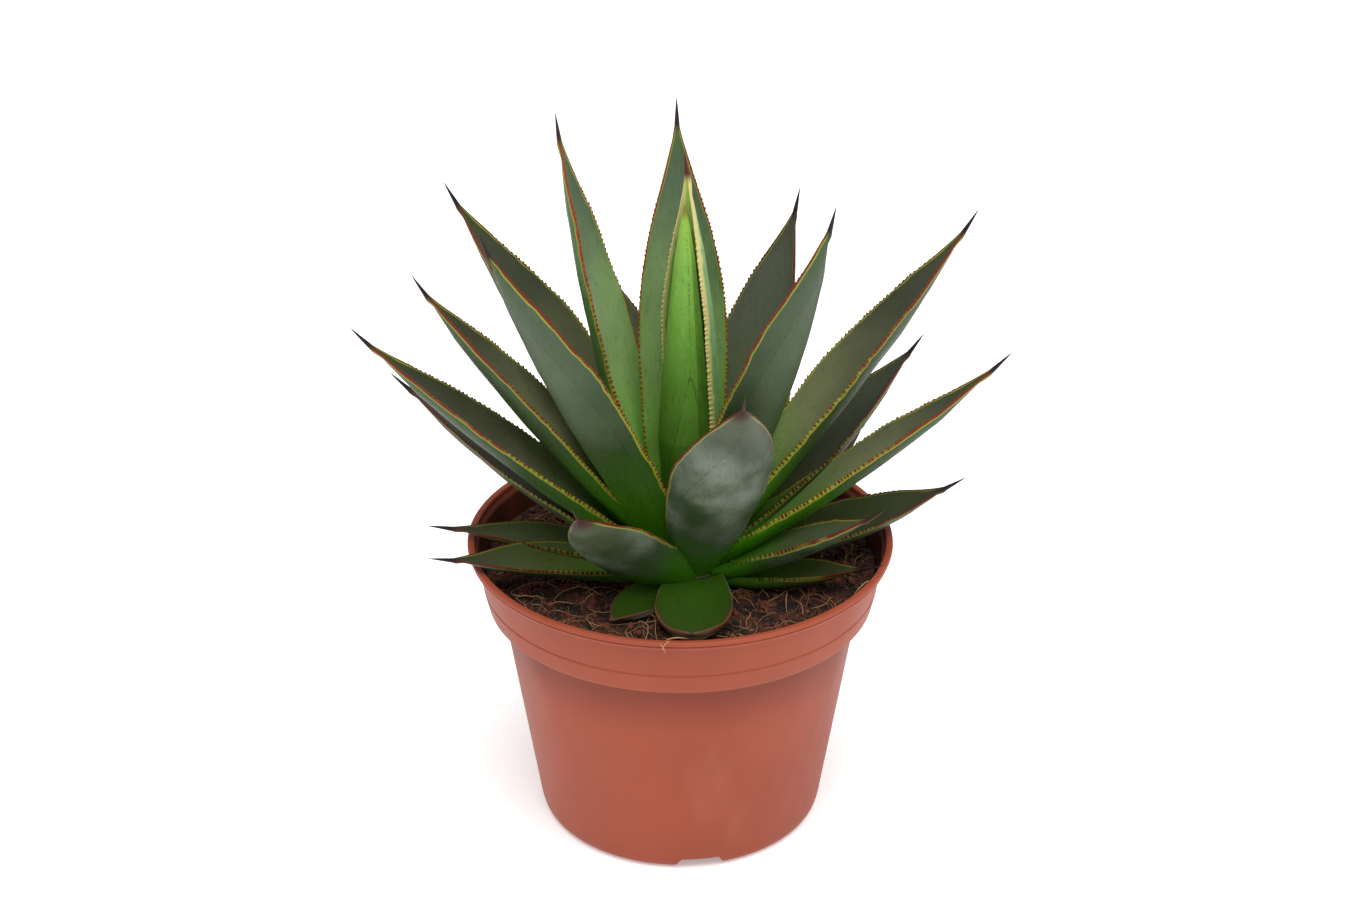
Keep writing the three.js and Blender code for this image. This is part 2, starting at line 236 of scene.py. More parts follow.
# %% Floor
FLOOR_RADIUS = 8.0
FLOOR_GLOW = 0.28
FLOOR_CORNERS = 96
floor_finish, tree, shader = new_finish("white_sweep")
paper = grain(tree, object_space(tree), 40)
shade = blend(tree, paper, (250, 250, 250), (254, 254, 254))
feed(tree, shader.inputs["Base Color"], shade)
shader.inputs["Roughness"].default_value = 0.9
shader.inputs["Emission Color"].default_value = (1, 1, 1, 1)
shader.inputs["Emission Strength"].default_value = FLOOR_GLOW

turn = np.linspace(0, 2 * np.pi, FLOOR_CORNERS, endpoint=False)
rim = np.stack([np.cos(turn) * FLOOR_RADIUS, np.sin(turn) * FLOOR_RADIUS, turn * 0], axis=1)
floor_mesh = bpy.data.meshes.new("floor")
floor_mesh.from_pydata(rim.tolist(), [], [list(range(FLOOR_CORNERS))])
floor = bpy.data.objects.new("floor", floor_mesh)
floor.data.materials.append(floor_finish)
scene.collection.objects.link(floor)
print("floor radius, m:", FLOOR_RADIUS)

# %% [markdown]
# ## From a grid of points to a mesh
#
# Every piece below is one idea: a rectangular grid of points, bent into shape
# by a formula. Rows run along the piece and columns run round it. The last
# column meets the first, and the two ends are closed by one point each, so
# the mesh is watertight. Working on whole arrays keeps it quick and exact.
# If the formula turned the grid inside out, its volume comes out negative,
# and the faces are turned over.

# %% Grid helpers
def smooth(value, start, end):
    """0 before start, 1 after end, and an S-shaped rise between."""
    k = np.clip((value - start) / (end - start), 0, 1)
    return k * k * (3 - 2 * k)


def mix(first, second, share):
    """A value on the way from first to second."""
    return first + (second - first) * share


def value_noise(points, cell, seed):
    """Smooth noise from 0 to 1.

    Space is cut into cubes of side cell. Each cube's corners get a number made
    from their place and the seed, and a point blends its cube's eight numbers.
    """
    place = np.asarray(points, float) / cell
    corner = np.floor(place).astype(np.int64)
    inside = place - corner
    inside = inside * inside * (3 - 2 * inside)
    total = np.zeros(place.shape[:-1])
    for step in np.ndindex(2, 2, 2):
        c = corner + np.array(step)
        h = c[..., 0] * 73856093 ^ c[..., 1] * 19349663 ^ c[..., 2] * 83492791 ^ seed * 97003
        h = ((h ^ (h >> 13)) & 0x7FFFFFFF) * 1274126177
        h = (h >> 15) & 0xFFFF
        weight = np.prod(np.where(step, inside, 1 - inside), axis=-1)
        total += weight * h / 0xFFFF
    return total


def signed_volume(points, triangles):
    """The sum of the small pyramids from the origin to each triangle."""
    a, b, c = (points[triangles[:, k]] for k in range(3))
    return float(np.sum(a * np.cross(b, c)) / 6)


def closed_quads(rows, columns):
    """The faces of a grid whose last column meets its first, and of its two end caps."""
    row = np.arange(rows - 1)[:, None] * columns
    column = np.arange(columns)[None, :]
    following = (column + 1) % columns
    quads = np.stack([row + column, row + following, row + columns + following,
                      row + columns + column], axis=-1).reshape(-1, 4)
    first, last = rows * columns, rows * columns + 1
    ring = np.arange(columns)
    foot = np.stack([np.full(columns, first), (ring + 1) % columns, ring], axis=1)
    top = (rows - 1) * columns
    head = np.stack([top + ring, top + (ring + 1) % columns, np.full(columns, last)], axis=1)
    return quads, np.concatenate([foot, head])


def fill_mesh(name, points, faces_by_size, values, blade_map=None):
    """Puts points, faces and the numbers that points carry into a smooth mesh."""
    mesh = bpy.data.meshes.new(name)
    corners = np.concatenate([f.ravel() for f in faces_by_size]).astype(np.int32)
    sizes = np.concatenate([np.full(len(f), f.shape[1]) for f in faces_by_size]).astype(np.int32)
    starts = np.concatenate([[0], np.cumsum(sizes)[:-1]]).astype(np.int32)
    mesh.vertices.add(len(points))
    mesh.vertices.foreach_set("co", (points * MM).ravel().astype(np.float32))
    mesh.loops.add(len(corners))
    mesh.loops.foreach_set("vertex_index", corners)
    mesh.polygons.add(len(sizes))
    mesh.polygons.foreach_set("loop_start", starts)
    mesh.polygons.foreach_set("use_smooth", np.ones(len(sizes), bool))
    for key, numbers in values.items():
        layer = mesh.attributes.new(key, "FLOAT", "POINT")
        layer.data.foreach_set("value", np.asarray(numbers, np.float32).ravel())
    if blade_map is not None:
        layer = mesh.uv_layers.new(name="blade")
        layer.data.foreach_set("uv", blade_map[corners].astype(np.float32).ravel())
    mesh.update(calc_edges=True)
    mesh.validate()
    return mesh


def add_piece(name, mesh, finish, slot, *nodes):
    """Shows a mesh as a piece of the plant that stands for its CAD nodes."""
    piece = bpy.data.objects.new(name, mesh)
    mesh.materials.append(finish)
    scene.collection.objects.link(piece)
    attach(piece, "root")
    if nodes:
        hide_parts(*nodes)


def grid_mesh(name, grid, ends, values=None, blade_map=None):
    """The closed mesh of a grid[row, column] of points in millimetres and its two end points.

    values holds one number per grid point. An end point takes the mean of the ring beside it.
    """
    rows, columns = grid.shape[:2]
    points = np.concatenate([grid.reshape(-1, 3), np.asarray(ends, float)])
    quads, caps = closed_quads(rows, columns)
    triangles = np.concatenate([quads[:, [0, 1, 2]], quads[:, [0, 2, 3]], caps])
    volume = signed_volume(points, triangles)
    if volume < 0:
        quads, caps = quads[:, ::-1], caps[:, ::-1]
    carried = {}
    for key, numbers in (values or {}).items():
        tips = [numbers[0].mean(), numbers[-1].mean()]
        carried[key] = np.concatenate([numbers.ravel(), tips])
    if blade_map is not None:
        tips = [blade_map[0].mean(axis=0), blade_map[-1].mean(axis=0)]
        blade_map = np.concatenate([blade_map.reshape(-1, 2), tips])
    mesh = fill_mesh(name, points, [quads, caps], carried, blade_map)
    return mesh, abs(volume) / 1000


print("noise at one point:", round(float(value_noise([1.0, 2.0, 3.0], 1.7, 5)), 3))

# %% [markdown]
# ## The pot
#
# The real pot is thin plastic, moulded in one shot. It has a tapered body, a
# wider band that makes it easy to grip, a lip in two tiers, a rounded foot and
# four channels underneath that let water run out. Turning one outline about
# the axis gives nearly all of it. A Screw modifier could do that, but a grid
# of rows and columns lets the foot be lifted where the channels run.
# The outline's corners are rounded with short curves, because every moulded
# edge catches a thin line of light.

# %% Pot outline
RIM_RADIUS = 85.0
POT_HEIGHT = 122.2
LIP_BOTTOM = 118.6
LIP_INNER = 82.0
BAND_BOTTOM = 95.0
BAND_TOP_RADIUS = 81.8
BAND_BOTTOM_RADIUS = 77.5
BODY_TOP_RADIUS = 71.7
BODY_BOTTOM_RADIUS = 57.2
FOOT_RADIUS = 53.8
WALL = 1.2
BASE = 1.6
GROOVE_HEIGHT = 104.2


def body_radius(z):
    """The tapered wall's radius, a straight line from the foot to the shoulder."""
    return mix(BODY_BOTTOM_RADIUS, BODY_TOP_RADIUS, z / BAND_BOTTOM)


def band_radius(z):
    """The band's radius, a straight line from the shoulder to the lip."""
    return mix(BAND_BOTTOM_RADIUS, BAND_TOP_RADIUS, (z - BAND_BOTTOM) / (LIP_BOTTOM - BAND_BOTTOM))


# Each point is a radius, a height, and how round its corner is.
OUTLINE = [
    (20, 0, 0), (FOOT_RADIUS - 0.5, 0, 1.0), (56.2, 1.1, 1.5), (body_radius(3.6), 3.6, 3.0),
    (BODY_TOP_RADIUS, BAND_BOTTOM - 1.8, 1.2), (BODY_TOP_RADIUS + 0.9, BAND_BOTTOM + 0.1, 0.8),
    (BAND_BOTTOM_RADIUS - 0.2, BAND_BOTTOM + 0.3, 1.2),
    (band_radius(GROOVE_HEIGHT - 0.6) + 0.15, GROOVE_HEIGHT - 0.6, 0.25),
    (band_radius(GROOVE_HEIGHT) - 0.3, GROOVE_HEIGHT, 0.2),
    (band_radius(GROOVE_HEIGHT + 0.6), GROOVE_HEIGHT + 0.6, 0.25),
    (BAND_TOP_RADIUS, LIP_BOTTOM - 0.4, 0.5), (RIM_RADIUS - 0.9, LIP_BOTTOM - 0.2, 0.6),
    (RIM_RADIUS - 0.4, LIP_BOTTOM + 1.1, 0.4), (RIM_RADIUS - 0.9, LIP_BOTTOM + 1.45, 0.3),
    (RIM_RADIUS, LIP_BOTTOM + 1.9, 0.5), (RIM_RADIUS - 0.1, POT_HEIGHT - 0.1, 1.1),
    (LIP_INNER + 0.1, POT_HEIGHT - 0.1, 1.0), (LIP_INNER - 0.1, LIP_BOTTOM + 1, 1.0),
    (BAND_TOP_RADIUS - WALL, LIP_BOTTOM - 0.5, 1.0), (BAND_BOTTOM_RADIUS - WALL, BAND_BOTTOM + 2, 1.0),
    (BODY_TOP_RADIUS - WALL, BAND_BOTTOM + 0.4, 1.0), (body_radius(4.5) - WALL, 4.5, 2.0),
    (FOOT_RADIUS - 1, BASE, 1.0), (20, BASE, 0),
]


def rounded_outline(outline, longest):
    """The outline with a short curve at each corner, and no step longer than longest.

    A corner's curve starts and ends at the same distance from it, and bends by
    the quadratic rule: the share (1-t)^2 of its start, 2t(1-t) of the corner
    and t^2 of its end.
    """
    corners = np.array([(r, z) for r, z, _ in outline], float)
    bend = np.linspace(0, 1, 6)[:, None]
    stretches = [corners[:1]]
    for before, corner, after, (_, _, size) in zip(corners, corners[1:], corners[2:], outline[1:]):
        back, ahead = before - corner, after - corner
        start = corner + back * min(size / np.linalg.norm(back), 0.48)
        end = corner + ahead * min(size / np.linalg.norm(ahead), 0.48)
        curve = (1 - bend) ** 2 * start + 2 * bend * (1 - bend) * corner + bend ** 2 * end
        stretches += [straight(stretches[-1][-1], start, longest), curve[1:]]
    stretches.append(straight(stretches[-1][-1], corners[-1], longest))
    return np.concatenate(stretches)


def straight(start, end, longest):
    """Even steps from start, left out, to end."""
    count = max(1, int(np.ceil(np.linalg.norm(end - start) / longest)))
    return mix(start, end, np.linspace(0, 1, count + 1)[1:, None])


outline = rounded_outline(OUTLINE, 3.5)
print("points in the pot's outline:", len(outline))

# %% [markdown]
# The channels under the foot are cut by lifting points: inside a channel, no
# point may lie lower than its roof. The roof of each channel has a round
# drain hole, shown as a dark pit with peat at its bottom. The floor of
# the pot is lifted over each channel in the same way, so the wall keeps its
# thickness.

# %% Pot piece
POT_COLUMNS = 440
DRAIN_AZIMUTHS = np.radians([278, 8, 98, 188])
DRAIN_HALF_WIDTH = 9.0
DRAIN_HEIGHT = 5.0
DRAIN_SLOPE = 1.2
DRAIN_INNER_REACH = 34.0
DRAIN_HOLE_RADIUS = 4.0
DRAIN_HOLE_REACH = 44.0
PIT_DEPTH = 1.1


def drain_share(x, y, margin):
    """1 inside a drainage channel widened by a margin, 0 outside, with sloping sides.

    A point is inside if it lies nearer than the half width to the channel's
    line, and further out along that line than the channel's inner end.
    """
    share = np.zeros(x.shape)
    for azimuth in DRAIN_AZIMUTHS:
        outward = x * np.cos(azimuth) + y * np.sin(azimuth)
        across = np.abs(-x * np.sin(azimuth) + y * np.cos(azimuth))
        inside = np.clip((DRAIN_HALF_WIDTH + margin + DRAIN_SLOPE - across) / (2 * DRAIN_SLOPE), 0, 1)
        end = DRAIN_INNER_REACH - margin
        share = np.maximum(share, inside * smooth(outward, end - 0.5, end + 0.5))
    return share


def drain_pit(x, y):
    """1 where the distance from a drain hole's centre is under its radius, and 0 outside."""
    share = np.zeros(x.shape)
    for azimuth in DRAIN_AZIMUTHS:
        centre = DRAIN_HOLE_REACH * np.array([np.cos(azimuth), np.sin(azimuth)])
        away = np.hypot(x - centre[0], y - centre[1])
        share = np.maximum(share, 1 - smooth(away, DRAIN_HOLE_RADIUS - 0.4, DRAIN_HOLE_RADIUS + 0.4))
    return share


def turned_grid(profile, columns):
    """Rows of points: each outline point's radius times the cosine and sine of an angle."""
    angle = np.linspace(0, 2 * np.pi, columns, endpoint=False)
    r, z = profile[:, :1], profile[:, 1:]
    return np.stack([r * np.cos(angle), r * np.sin(angle), z + 0 * angle], axis=-1)


# Rows are close together only where the channels run.
DRAIN_ROWS = np.array([[DRAIN_INNER_REACH - 1.5, 0], [FOOT_RADIUS - 1.5, 0]])
ROWS_OVER_LIP = 6
underside = straight(np.array([20.0, 0]), DRAIN_ROWS[0], 3)
fine = straight(*DRAIN_ROWS, 0.75)
low = outline[1:][outline[1:, 0] > DRAIN_ROWS[1, 0]]
profile = np.concatenate([[[6.0, 0]], underside, fine, low, [[6.0, BASE]]])
grid = turned_grid(profile, POT_COLUMNS)
x, y, z = grid[..., 0], grid[..., 1], grid[..., 2]
outside = np.arange(len(profile))[:, None] < np.argmax(profile[:, 1]) + ROWS_OVER_LIP
channel = drain_share(x, y, 0)
roof = drain_share(x, y, WALL)
pit = np.where(outside & (z < 1), drain_pit(x, y), 0)
lifted = np.maximum(z, DRAIN_HEIGHT * channel + PIT_DEPTH * pit)
grid[..., 2] = np.where(outside, lifted, np.maximum(z, (DRAIN_HEIGHT + WALL) * roof))
inner = np.where(outside, 0, 1 - smooth(z, LIP_BOTTOM - 1, LIP_BOTTOM + 2))
pot_mesh, volume = grid_mesh("nursery_pot", grid, [(0, 0, 0), (0, 0, BASE)], {"pit": pit, "inner": inner})
print("pot: faces", len(pot_mesh.polygons), "plastic, cm3", round(volume, 1))

# %% [markdown]
# The plastic is a dull terracotta colour, half matt, with a faint orange-peel
# texture and slight clouds where the colour mixed unevenly. Handling has made
# it a little paler in places. Painted shade darkens the wall just under the
# band and the inside of the wall above the peat. Low-contrast noise gives the
# clouds and the pale places, and the height above the floor says where the
# painted shade under the band lies.

# %% Pot finish
pot_finish, tree, shader = new_finish("terracotta_plastic")
place = object_space(tree)
clouds = grain(tree, place, 14, 4)
scuffs = grain(tree, place, 45, 5, (1, 1, 0.35))
colour = blend(tree, rise(tree, clouds, 0.35, 0.7), (156, 72, 47), (147, 68, 45))
colour = blend(tree, rise(tree, scuffs, 0.55, 0.8, 0, 0.45), colour, (164, 92, 72))
height = tree.nodes.new("ShaderNodeSeparateXYZ")
tree.links.new(place, height.inputs[0])
height = height.outputs["Z"]
# Painted shade: below the band the wall grows darker towards the band, where the band's shadow falls.
below_band = calculate(tree, "LESS_THAN", height, BAND_BOTTOM * MM)
bloom_and_painted_shade = calculate(tree, "MULTIPLY", rise(tree, height, 0.066, 0.095, 0, 0.6), below_band)
colour = blend(tree, bloom_and_painted_shade, colour, (104, 42, 26))
colour = blend(tree, attribute(tree, "pit"), colour, (36, 22, 16))
# Painted shade: the inside of the wall below the lip is darkened most of the way to near black, a little
# unevenly.
painted_inner_shade = calculate(tree, "MULTIPLY", attribute(tree, "inner"), rise(tree, scuffs, 0.25, 0.6, 0.55, 0.8))
colour = blend(tree, painted_inner_shade, colour, (44, 24, 18))
peel = grain(tree, place, 900, 2)
coat(tree, shader, colour, rise(tree, scuffs, 0.3, 0.8, 0.44, 0.6), bump(tree, peel, 0.05, 0.35))
shader.inputs["Specular IOR Level"].default_value = 0.25
add_piece("nursery_pot", pot_mesh, pot_finish, "pot", "pot")

# %% [markdown]
# ## The peat
#
# Potting peat is a dark, crumbly heap with pale coir fibres in it. One bumpy
# surface would look like mud, and a simulation of loose grains would be slow.
# So there are three layers: a solid whose top is a noisy height field, a
# few thousand small crumbs strewn on it, and over a thousand curved fibres.

# %% Peat body
SOIL_LEVEL = 110.0
SOIL_MOUND = 1.0
GAP = 0.3
PLANT_CENTRE = np.array([5.0, -12.0])
band_height = LIP_BOTTOM - BAND_BOTTOM
soil_shoulder = BAND_BOTTOM_RADIUS - WALL - 2 * GAP
soil_rise = SOIL_LEVEL - BAND_BOTTOM - 2
soil_edge = soil_shoulder + (BAND_TOP_RADIUS - BAND_BOTTOM_RADIUS) * soil_rise / band_height


def soil_height(x, y):
    """The peat's surface: a low mound round the stem, and lumps of three sizes."""
    here = np.stack([x, y, 0 * x], axis=-1)
    reach = np.hypot(x - PLANT_CENTRE[0], y - PLANT_CENTRE[1])
    mound = SOIL_LEVEL + SOIL_MOUND * (1 - smooth(reach, 20, 60))
    edge = 1 - smooth(np.hypot(x, y), soil_edge - 6, soil_edge)
    lumps = 3.2 * (value_noise(here, 13, 1) - 0.5) + 2.0 * (value_noise(here, 5, 2) - 0.5)
    crumbs = 1.3 * (value_noise(here, 2.1, 3) - 0.5)
    return mound - 0.6 + (lumps + crumbs) * (0.4 + 0.6 * edge)


SOIL_COLUMNS = 300
top_rings = np.linspace(soil_edge, 4, 96)
side = [(30, BASE + GAP), (FOOT_RADIUS - 2, BASE + GAP), (body_radius(5) - WALL - GAP, 5)]
side += [(BODY_TOP_RADIUS - WALL - GAP, BAND_BOTTOM)]
side += [(BAND_BOTTOM_RADIUS - WALL - GAP, BAND_BOTTOM + 2.6)]
side = np.array(side, float)
top = np.stack([top_rings, np.full(len(top_rings), SOIL_LEVEL)], axis=1)
grid = turned_grid(np.concatenate([side, top]), SOIL_COLUMNS)
first_top = len(side)
grid[first_top:, :, 2] = soil_height(grid[first_top:, :, 0], grid[first_top:, :, 1])
under = drain_share(grid[..., 0], grid[..., 1], WALL + GAP) * (DRAIN_HEIGHT + WALL + GAP)
grid[..., 2] = np.maximum(grid[..., 2], under)
middle = float(soil_height(np.zeros(1), np.zeros(1))[0])
peat_mesh, volume = grid_mesh("peat", grid, [(0, 0, BASE + GAP), (0, 0, middle)])
print("peat, litres:", round(volume / 1000, 2))

# %% [markdown]
# The peat's colour changes from crumb to crumb: almost black where it is wet,
# red-brown where it has dried. Two scales of noise pick between three browns.

# %% Peat finish
def peat_finish(name, dark, middle, light):
    """Three browns mixed by two noises, quite rough, with a grainy bump."""
    finish, tree, shader = new_finish(name)
    place = object_space(tree)
    broad = grain(tree, place, 120, 4)
    fine = grain(tree, place, 650, 5)
    colour = blend(tree, rise(tree, broad, 0.38, 0.62), dark, middle)
    colour = blend(tree, rise(tree, fine, 0.55, 0.75, 0, 0.7), colour, light)
    coat(tree, shader, colour, 0.95, bump(tree, fine, 0.8, 0.9))
    return finish


peat = peat_finish("damp_peat", (20, 11, 8), (74, 38, 24), (120, 76, 48))
add_piece("peat", peat_mesh, peat, "soil", "soil")
print("peat finish made")

# %% [markdown]
# A crumb is a ball of twenty triangles, squashed and turned at random. All
# crumbs share one mesh. Each is the same small template times its own
# size and turn, so a few array sums place thousands of them at once.

# %% Crumbs
random = np.random.default_rng(7)
GOLDEN = (1 + 5 ** 0.5) / 2


def ball_of_twenty():
    """The corners and the triangles of a regular ball of twenty faces."""
    corners = []
    for one in (-1, 1):
        for long in (-GOLDEN, GOLDEN):
            corners += [(0, one, long), (one, long, 0), (long, 0, one)]
    corners = np.array(corners) / np.hypot(1, GOLDEN)
    gap = np.linalg.norm(corners[:, None] - corners[None], axis=-1)
    near = (gap > 0.1) & (gap < 1.2)
    faces = []
    for a in range(12):
        for b in range(a + 1, 12):
            for c in range(b + 1, 12):
                if near[a, b] and near[b, c] and near[a, c]:
                    out = np.dot(np.cross(corners[b] - corners[a], corners[c] - corners[a]), corners[a])
                    faces.append((a, b, c) if out > 0 else (a, c, b))
    return corners, np.array(faces)


def random_turns(count):
    """That many random rotation matrices, each from a random unit quaternion."""
    q = random.normal(size=(count, 4))
    w, x, y, z = (q / np.linalg.norm(q, axis=1, keepdims=True)).T
    rows = [1 - 2 * (y * y + z * z), 2 * (x * y - z * w), 2 * (x * z + y * w),
            2 * (x * y + z * w), 1 - 2 * (x * x + z * z), 2 * (y * z - x * w),
            2 * (x * z - y * w), 2 * (y * z + x * w), 1 - 2 * (x * x + y * y)]
    return np.stack(rows, axis=1).reshape(count, 3, 3)


def strewn(count, reach):
    """Random places on a disc of a radius, spread evenly over its area."""
    angle = random.uniform(0, 2 * np.pi, count)
    away = reach * np.sqrt(random.uniform(0, 1, count))
    return away * np.cos(angle), away * np.sin(angle)


CRUMB_COUNT = 3600
corners, faces = ball_of_twenty()
x, y = strewn(CRUMB_COUNT, soil_edge - 1.5)
size = 0.4 + 1.7 * random.uniform(0, 1, CRUMB_COUNT) ** 3
shape = random.uniform(0.55, 1.1, (CRUMB_COUNT, 1, 3)) * size[:, None, None]
centres = np.stack([x, y, soil_height(x, y) + 0.25 * size], axis=1)
lumpy = corners * random.uniform(0.75, 1.15, (CRUMB_COUNT, 12, 1))
points = np.einsum("nij,nkj->nki", random_turns(CRUMB_COUNT), lumpy * shape) + centres[:, None]
points = points.reshape(-1, 3)
faces = (np.arange(CRUMB_COUNT)[:, None, None] * 12 + faces).reshape(-1, 3)
crumb_mesh = fill_mesh("peat_crumbs", points, [faces], {})
crumbs = peat_finish("dry_peat", (40, 20, 13), (104, 54, 34), (146, 96, 62))
add_piece("peat_crumbs", crumb_mesh, crumbs, "soil")
print("crumbs:", CRUMB_COUNT)

# %% [markdown]
# Coir fibres are stiff curved hairs, half buried. Each is a thin tube along
# a curve: it starts somewhere on the peat, heads in some direction, and turns
# steadily as it goes. The middle of each arches up a little, some more than
# others. A few strays are given one by one, where they lean on the lip.

# %% Fibres
FIBRE_STEPS = 9
FIBRE_SIDES = 5


def tubes(paths, radius):
    """Tubes along many paths[fibre, step] at once, thinner at both ends.

    Round each point of a path stands a ring of points: two directions that are
    square to the path, times the cosine and the sine of an angle, times a radius.
    """
    ahead = np.gradient(paths, axis=1)
    ahead /= np.linalg.norm(ahead, axis=-1, keepdims=True)
    side = np.cross(ahead, [0.13, 0.21, 0.97])
    side /= np.linalg.norm(side, axis=-1, keepdims=True)
    lift = np.cross(side, ahead)
    angle = np.linspace(0, 2 * np.pi, FIBRE_SIDES, endpoint=False)[:, None]
    share = np.linspace(-1, 1, paths.shape[1])
    thick = radius[:, None, None, None] * (1 - 0.75 * share[:, None, None] ** 4)
    ring = np.cos(angle) * side[:, :, None] + np.sin(angle) * lift[:, :, None]
    grids = paths[:, :, None] + thick * ring
    quads, caps = closed_quads(paths.shape[1], FIBRE_SIDES)
    points = np.concatenate([grids.reshape(len(paths), -1, 3), paths[:, :1], paths[:, -1:]], axis=1)
    count = points.shape[1]
    first = np.arange(len(paths))[:, None, None] * count
    faces = [(first + f[:, ::-1]).reshape(-1, f.shape[1]) for f in (quads, caps)]
    return points.reshape(-1, 3), faces


def lying_fibres(count, reach, longest, loose):
    """Curved paths on the peat. loose says how high the middle of a path may arch."""
    x, y = strewn(count, reach)
    length = random.uniform(0.3, 1, count) * longest
    heading = random.uniform(0, 2 * np.pi, count)
    turning = random.normal(0, 1.3, count)
    share = np.linspace(0, 1, FIBRE_STEPS)
    angle = heading[:, None] + turning[:, None] * share + 0.35 * np.sin(7 * share + heading[:, None])
    step = length[:, None] / (FIBRE_STEPS - 1)
    px = x[:, None] + np.cumsum(np.cos(angle) * step, axis=1)
    py = y[:, None] + np.cumsum(np.sin(angle) * step, axis=1)
    keep = np.minimum(1, (soil_edge + 0.5) / np.hypot(px, py))
    px, py = px * keep, py * keep
    arch = random.uniform(0, 1, count) ** 2 * loose
    lift = 0.35 + arch[:, None] * np.sin(np.pi * share)
    tilt = random.uniform(-0.8, 0.5, count)[:, None] * (share - 0.3) * 2
    return np.stack([px, py, soil_height(px, py) + lift + tilt], axis=-1)


def bent(start, middle, end):
    """One listed fibre: the quadratic curve between its ends, pulled to a middle."""
    t = np.linspace(0, 1, FIBRE_STEPS)[:, None]
    start, middle, end = (np.array(point, float) for point in (start, middle, end))
    return (1 - t) ** 2 * start + 2 * t * (1 - t) * middle + t ** 2 * end


STRAY_FIBRES = np.array([
    bent((-13, -74, 113), (-8, -85, 127), (-5.4, -86.2, 118.6)),
    bent((-1, -76, 112), (-3, -84, 127), (-6.8, -86.0, 120.2)),
    bent((-10, -77, 112.5), (-6, -82, 125), (3, -80.5, 121.5)),
    bent((66, -38, 113), (70, -42, 124), (74, -34, 120)),
    bent((60, 34, 112), (70, 30, 123), (76, 20, 119)),
])
STRAY_THICKNESS = 0.3
fine_paths = lying_fibres(950, soil_edge - 3, 9, 1.2)
long_paths = np.concatenate([lying_fibres(270, soil_edge - 6, 28, 3.5), STRAY_FIBRES])
thick = random.uniform(0.14, 0.26, len(long_paths))
thick[-len(STRAY_FIBRES):] = STRAY_THICKNESS
fine_points, fine_faces = tubes(fine_paths, random.uniform(0.09, 0.16, len(fine_paths)))
long_points, long_faces = tubes(long_paths, thick)
shift = len(fine_points)
all_faces = [np.concatenate([a, b + shift]) for a, b in zip(fine_faces, long_faces)]
all_points = np.concatenate([fine_points, long_points])
tint = random.uniform(0, 1, len(fine_paths) + len(long_paths))
tint[-len(STRAY_FIBRES):] = 1
tint = np.repeat(tint, FIBRE_STEPS * FIBRE_SIDES + 2)
fibre_mesh = fill_mesh("coir_fibres", all_points, all_faces, {"tint": tint})

fibre_finish, tree, shader = new_finish("coir")
specks = grain(tree, object_space(tree), 500, 3)
dry = blend(tree, attribute(tree, "tint"), (88, 46, 28), (186, 140, 92))
colour = blend(tree, rise(tree, specks, 0.4, 0.7, 0, 0.4), dry, (104, 62, 38))
coat(tree, shader, colour, 0.7, bump(tree, specks, 0.1, 0.5))
add_piece("coir_fibres", fibre_mesh, fibre_finish, "soil")
print("fibres:", len(fine_paths) + len(long_paths))

# %% [markdown]
# ## How a leaf is shaped
#
# An agave's leaf is a stiff channel: hollow on its upper face, rounded
# beneath, thick along the middle and thin at the margins. It starts broad,
# swells, and is drawn out into a sharp spine. Its midline rises from the stem,
# and in most leaves it bends a little more upright towards the tip.
# A subdivided cage could be sculpted for each leaf, but thirty-one of
# them would never match the CAD model. So one function makes them all: the
# first parameter runs along the midline, the second goes round the section.
#
# What a leaf doesn't say for itself comes from the defaults: radius and height
# place its foot, fold is half the angle of its channel, widest, neck and
# pointing give its outline, roll and curl turn it, spine is its spine's
# length, wave ripples its margins, and horn_width widens their brown line.

# %% Leaf midline and width
STEM_FOOT = np.array([7.5, -16.0, 114.0])
STEM_TOP = np.array([2.5, -8.0, 124.0])
LEAF_DEFAULTS = dict(radius=8, height=124, fold=0.7, widest=0.5, neck=0.62, roll=0, spine=12,
                     pointing=1.25, curl=0, wave=0.5, horn_width=1, finish="grown")
SPINE_OUTSIDE_BLADE = 0.6
CURL_START = 0.6
STATION_STEP = 0.36
MIDDLE_THICKNESS = 5
TIP_THICKNESS = 1.5
EDGE_THICKNESS = 0.5
RIM_SWELL = 0.15
SPINE_RADIUS = 0.85


def stem_axis(z):
    """The leaning stem's centre at a height: a straight line between its two ends."""
    share = np.clip((z - STEM_FOOT[2]) / (STEM_TOP[2] - STEM_FOOT[2]), 0, 1)
    return mix(STEM_FOOT, STEM_TOP, share)[:2]


def blade_width(s, widest, neck, pointing):
    """The half width at share s of the blade, as a part of the widest.

    From the foot it grows from neck to 1 as a quarter of a sine wave. From the
    widest place to the tip it falls as a sine raised to a power: above 1 the
    tip is drawn out, below 1 it is blunt.
    """
    swell = neck + (1 - neck) * np.sin(np.pi / 2 * np.clip(s / (1 - widest), 0, 1))
    draw = np.sin(np.pi / 2 * np.clip((1 - s) / widest, 0, 1)) ** pointing
    return np.where(1 - s > widest, swell, draw)


